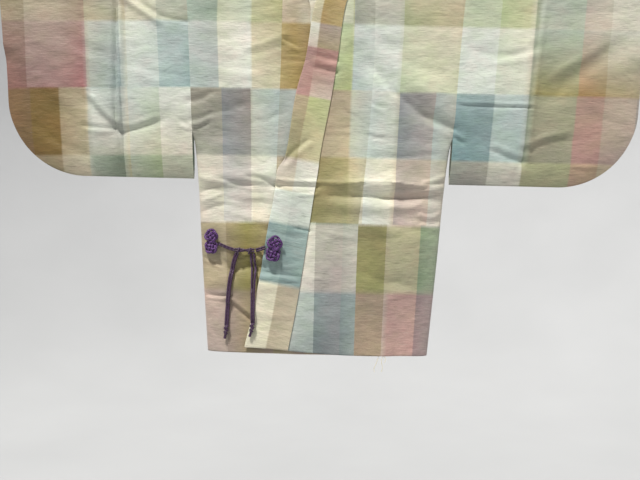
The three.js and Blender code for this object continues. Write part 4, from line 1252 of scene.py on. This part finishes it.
RIGHT_OKUMI = dict(
    warp=(
        stripe_table("-115 sand>ochre  -30 cream>sand"),
        stripe_table("-115 beige>mist  -30 cream>sand"),
        stripe_table("-115 olive>mauve  -30 tan>beige"),
    ),
    weft=(
        bands("beige>mauve olive beige>tan steel>sky ochre blush>white sand"),
        bands("mauve olive>tan tan>beige steel>slate ochre>tan white>blush sand"),
    ),
    weft_change=(-60, -40),
)
LEFT_OKUMI = dict(
    warp=(
        stripe_table("-70 mint  -10 mint>lime  58 sky>mist"),
        stripe_table("-70 tan  -10 tan>sand  56 sand>mist"),
        stripe_table("-70 mist  -10 steel>lavender  50 steel>mist"),
    ),
    weft=(
        bands("slate>steel blush>cream moss>olive beige>mauve lime>mint white cream"),
        bands("slate>steel blush>cream olive>sand sky>mist mist>white tan>beige cream"),
    ),
    weft_change=(54, 60),
)
RIGHT_SLEEVE = dict(
    warp=(
        stripe_table(
            "245 teal>sky  335 mist>white  398 cream>mist  410 steel>beige  479 rose>mauve "
            "533 mauve  598 brown>rust"
        ),
        stripe_table(
            "245 white  337 mint>mist  399 cream>mist  412 steel>mist  480 cream>beige "
            "535 bronze  592 brown>rust"
        ),
    ),
    weft=(
        bands(
            "mauve cream>beige moss>fern beige>mist sky>mist sand>cream cream>sand beige>tan "
            "sky>steel cream>mint olive beige>cream mauve"
        ),
        bands(
            "mauve tan>ochre tan>beige bronze rose>mauve beige>lime blush>cream tan>beige "
            "rose>mauve steel>tan brown>bronze tan>ochre mauve"
        ),
    ),
    weft_change=(470, 486),
)
LEFT_SLEEVE = dict(
    warp=(
        stripe_table("245 mist  348 mint>cream  416 sage  514 rust>tan  568 beige>cream"),
        stripe_table(
            "245 teal>steel  350 mist  416 sage  512 rose  567 mauve>blush  636 lavender"
        ),
    ),
    weft=(
        bands(
            "mauve sage>olive mauve>beige teal>sky mist>white lime>leaf cream>sand beige>tan "
            "sky>steel cream>mint olive>moss beige>cream mauve"
        ),
        bands(
            "mauve olive>sage beige>sand mauve>beige ochre>mist white>mist blush>cream "
            "tan>beige rose>mauve steel>tan brown>bronze tan>ochre mauve"
        ),
    ),
    weft_change=(404, 430),
)
# The collar's bands run up its length, from the front hem to the back of the neck.
COLLAR_WARP = stripe_table("0 cream>beige  43 cream>white  85 cream  130 beige")
COLLAR_LEFT = dict(
    warp=(COLLAR_WARP, COLLAR_WARP),
    weft=(
        stripe_table(
            "-960 beige  -815 teal  -697 mist  -633 white  -570 sand>lime  -445 blush>rose "
            "-380 rose  -350 tan>mauve  -302 ochre  -178 sage>mint  -60 mauve>blush "
            "40 cream>sand"
        ),
        stripe_table(
            "-960 cream  -815 teal  -697 mist  -633 cream>blush  -570 olive>tan  -445 rose "
            "-380 rose  -350 blush>white  -302 sand>cream  -178 sage>mint  -60 mauve>blush "
            "40 cream>sand"
        ),
    ),
    weft_change=(42, 45),
    share=0.8,
)
COLLAR_RIGHT = dict(
    warp=(COLLAR_WARP, COLLAR_WARP),
    weft=(
        stripe_table(
            "-960 olive>sage  -860 beige>cream  -720 slate>steel  -600 sand>cream "
            "-490 mauve>blush  -380 teal>steel  -290 cream>white  -178 ochre>sand "
            "-60 sage>mint  40 mauve>beige"
        ),
        stripe_table(
            "-960 olive>moss  -860 beige>sand  -720 slate>teal  -600 cream>white "
            "-490 rose>blush  -380 teal>sky  -290 white>cream  -178 ochre>cream "
            "-60 sage>mint  40 mauve>blush"
        ),
    ),
    weft_change=(42, 45),
    share=0.8,
)


# ---------------------------------------------------------------- cloth objects
def mirrored(cloth, high):
    """A cloth turned round, for one whose places across run below zero."""
    warps = []
    for table in cloth["warp"]:
        ends = [row[0] for row in table[1:]] + [high]
        warps.append([(-end, last, first) for end, (_, first, last) in zip(ends, table)][::-1])
    near, far = cloth["weft_change"]
    return dict(warp=warps, weft=cloth["weft"][::-1], weft_change=(-far, -near))


BODY_U = 290
# Of each kind of piece: its name, its surface, its wall and roll, its cloth and the places
# across it on the wearer's left and right, the places along, its flat size and its area
CLOTHS = [
    ("body", body_panel, CLOTH_WALL, (0.5, 0.5, 0, 0.3),
     (LEFT_BODY, mirrored(RIGHT_BODY, BODY_U)), ((0, BODY_U), (-BODY_U, 0)), BODY_V,
     (0.32, 1.70), 0.42),
    ("okumi", okumi, CLOTH_WALL, (0.5, 0, 0, 0),
     (LEFT_OKUMI, RIGHT_OKUMI), ((-70, 120), (-115, 60)), BODY_V, (0.16, 0.80), 0.085),
    ("collar", collar, LAYER_WALL, (0.4, 0, 0, 0),
     (COLLAR_LEFT, COLLAR_RIGHT), ((0, 180), (0, 180)), (-960, 160), (0.17, 1.0), None),
    ("sleeve", sleeve, CLOTH_WALL, (0.4, 0.4, 0, 0.3),
     (LEFT_SLEEVE, RIGHT_SLEEVE), ((245, 700), (245, 700)), BODY_V, (0.39, 1.02), None),
]
for piece, surface, wall, roll, cloths, reaches, length, flat, area in CLOTHS:
    for side, word, cloth, reach in zip((1, -1), ("left", "right"), cloths, reaches):
        node = piece + "_" + word
        middle, uv, *fix = surface(side)
        mesh = shell("cloth_" + node, middle, uv, wall, roll, *fix)
        material = cloth_material("check_" + node, cloth, reach, length)
        made = add_object("cloth_" + node, mesh, material)
        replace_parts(made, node)


# ---------------------------------------------------------------- hanger
ROD_TONES = (226, 224, 216), (236, 234, 228)
shader, streak, colour = grained("rod_plastic", 40, (0.2, 6, 6), *ROD_TONES)
plastic = shader.finish(colour, shader.bump(streak, 0.00005), Roughness=0.38, Coat_Weight=0.1)

WIRE_TONES = (166, 168, 170), (196, 198, 200)
shader, drawn, colour = grained("hook_wire", 300, (8, 8, 1), *WIRE_TONES)
rough = shader.math("MULTIPLY_ADD", drawn, 0.15, 0.18)
wire = shader.finish(colour, shader.bump(drawn, 0.00003), Roughness=rough, Metallic=1.0)

for node, material in (("hanger_rod", plastic), ("hanger_hook", wire)):
    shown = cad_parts[node]
    shown = bpy.data.objects[shown] if isinstance(shown, str) else shown
    for slot in shown.material_slots:
        slot.material = material


# ---------------------------------------------------------------- stage
def bowl():
    """A floor that curves up all round, so that each view has the same pale ground."""
    floor_z, flat, rise, lip = -1.75, 2.6, 2.4, 2.6
    profile = [(r, floor_z) for r in (0.0, 0.8, 1.6, flat)]
    for angle in np.radians(np.linspace(10, 90, 9)):
        profile.append((flat + rise * math.sin(angle), floor_z + rise * (1 - math.cos(angle))))
    profile.append((flat + rise, floor_z + rise + lip))
    sides = 96
    points, faces = [(0, 0, floor_z)], []
    for r, z in profile[1:]:
        for k in range(sides):
            angle = 2 * math.pi * k / sides
            points.append((r * math.cos(angle), r * math.sin(angle), z))
    for k in range(sides):
        faces.append((0, 1 + k, 1 + (k + 1) % sides))
    for row in range(len(profile) - 2):
        for k in range(sides):
            a, b = 1 + row * sides + k, 1 + row * sides + (k + 1) % sides
            faces.append((a, a + sides, b + sides, b))
    mesh = bpy.data.meshes.new("floor")
    mesh.from_pydata(points, [], faces)
    mesh.shade_smooth()
    made = bpy.data.objects.new("floor", mesh)
    bpy.context.scene.collection.objects.link(made)
    shader = Shader("pale_floor")
    place = shader.object_place()
    cloud = shader.noise(place, 1.5, detail=3)
    colour = shader.ramp(cloud, [(0.3, [0.526, 0.532, 0.545, 1]), (0.7, [0.556, 0.562, 0.575, 1])])
    # painted shade: the bowl is painted darker down towards its flat floor than up its rising wall
    shade = shader.map_range(shader.split(place)[2], floor_z, floor_z + rise, 0.64, 1.0)
    shader.finish(shader.blend(1.0, colour, shade, "MULTIPLY"), Roughness=0.9)
    mesh.materials.append(shader.material)
    made.visible_shadow = False
    return made


def sun(name, azimuth, elevation, spread, strength):
    """A soft far light. Azimuth 0 stands before the front, and 90 at the viewer's right."""
    data = bpy.data.lights.new(name, "SUN")
    data.angle = math.radians(spread)
    data.energy = strength
    data.color = (1.0, 0.985, 0.945)
    made = bpy.data.objects.new(name, data)
    bpy.context.scene.collection.objects.link(made)
    turn, rise = math.radians(azimuth), math.radians(elevation)
    level = math.cos(rise)
    toward = Vector((math.sin(turn) * level, -math.cos(turn) * level, math.sin(rise)))
    made.rotation_euler = toward.to_track_quat("Z", "Y").to_euler()
    return made


stage = [
    bowl(),
    sun("ceiling_light", -34, 62, 9, 4.42),
    sun("fill_light", 35, 18, 50, 0.25),
    sun("back_light", 196, 40, 20, 2.0),
]

world = bpy.data.worlds.new("pale_room")
bpy.context.scene.world = world
world.use_nodes = True
world.node_tree.nodes["Background"].inputs["Color"].default_value = (0.93, 0.95, 1.0, 1)
world.node_tree.nodes["Background"].inputs["Strength"].default_value = 0.1
bpy.context.scene.view_settings.view_transform = "Standard"

bpy.context.view_layer.update()
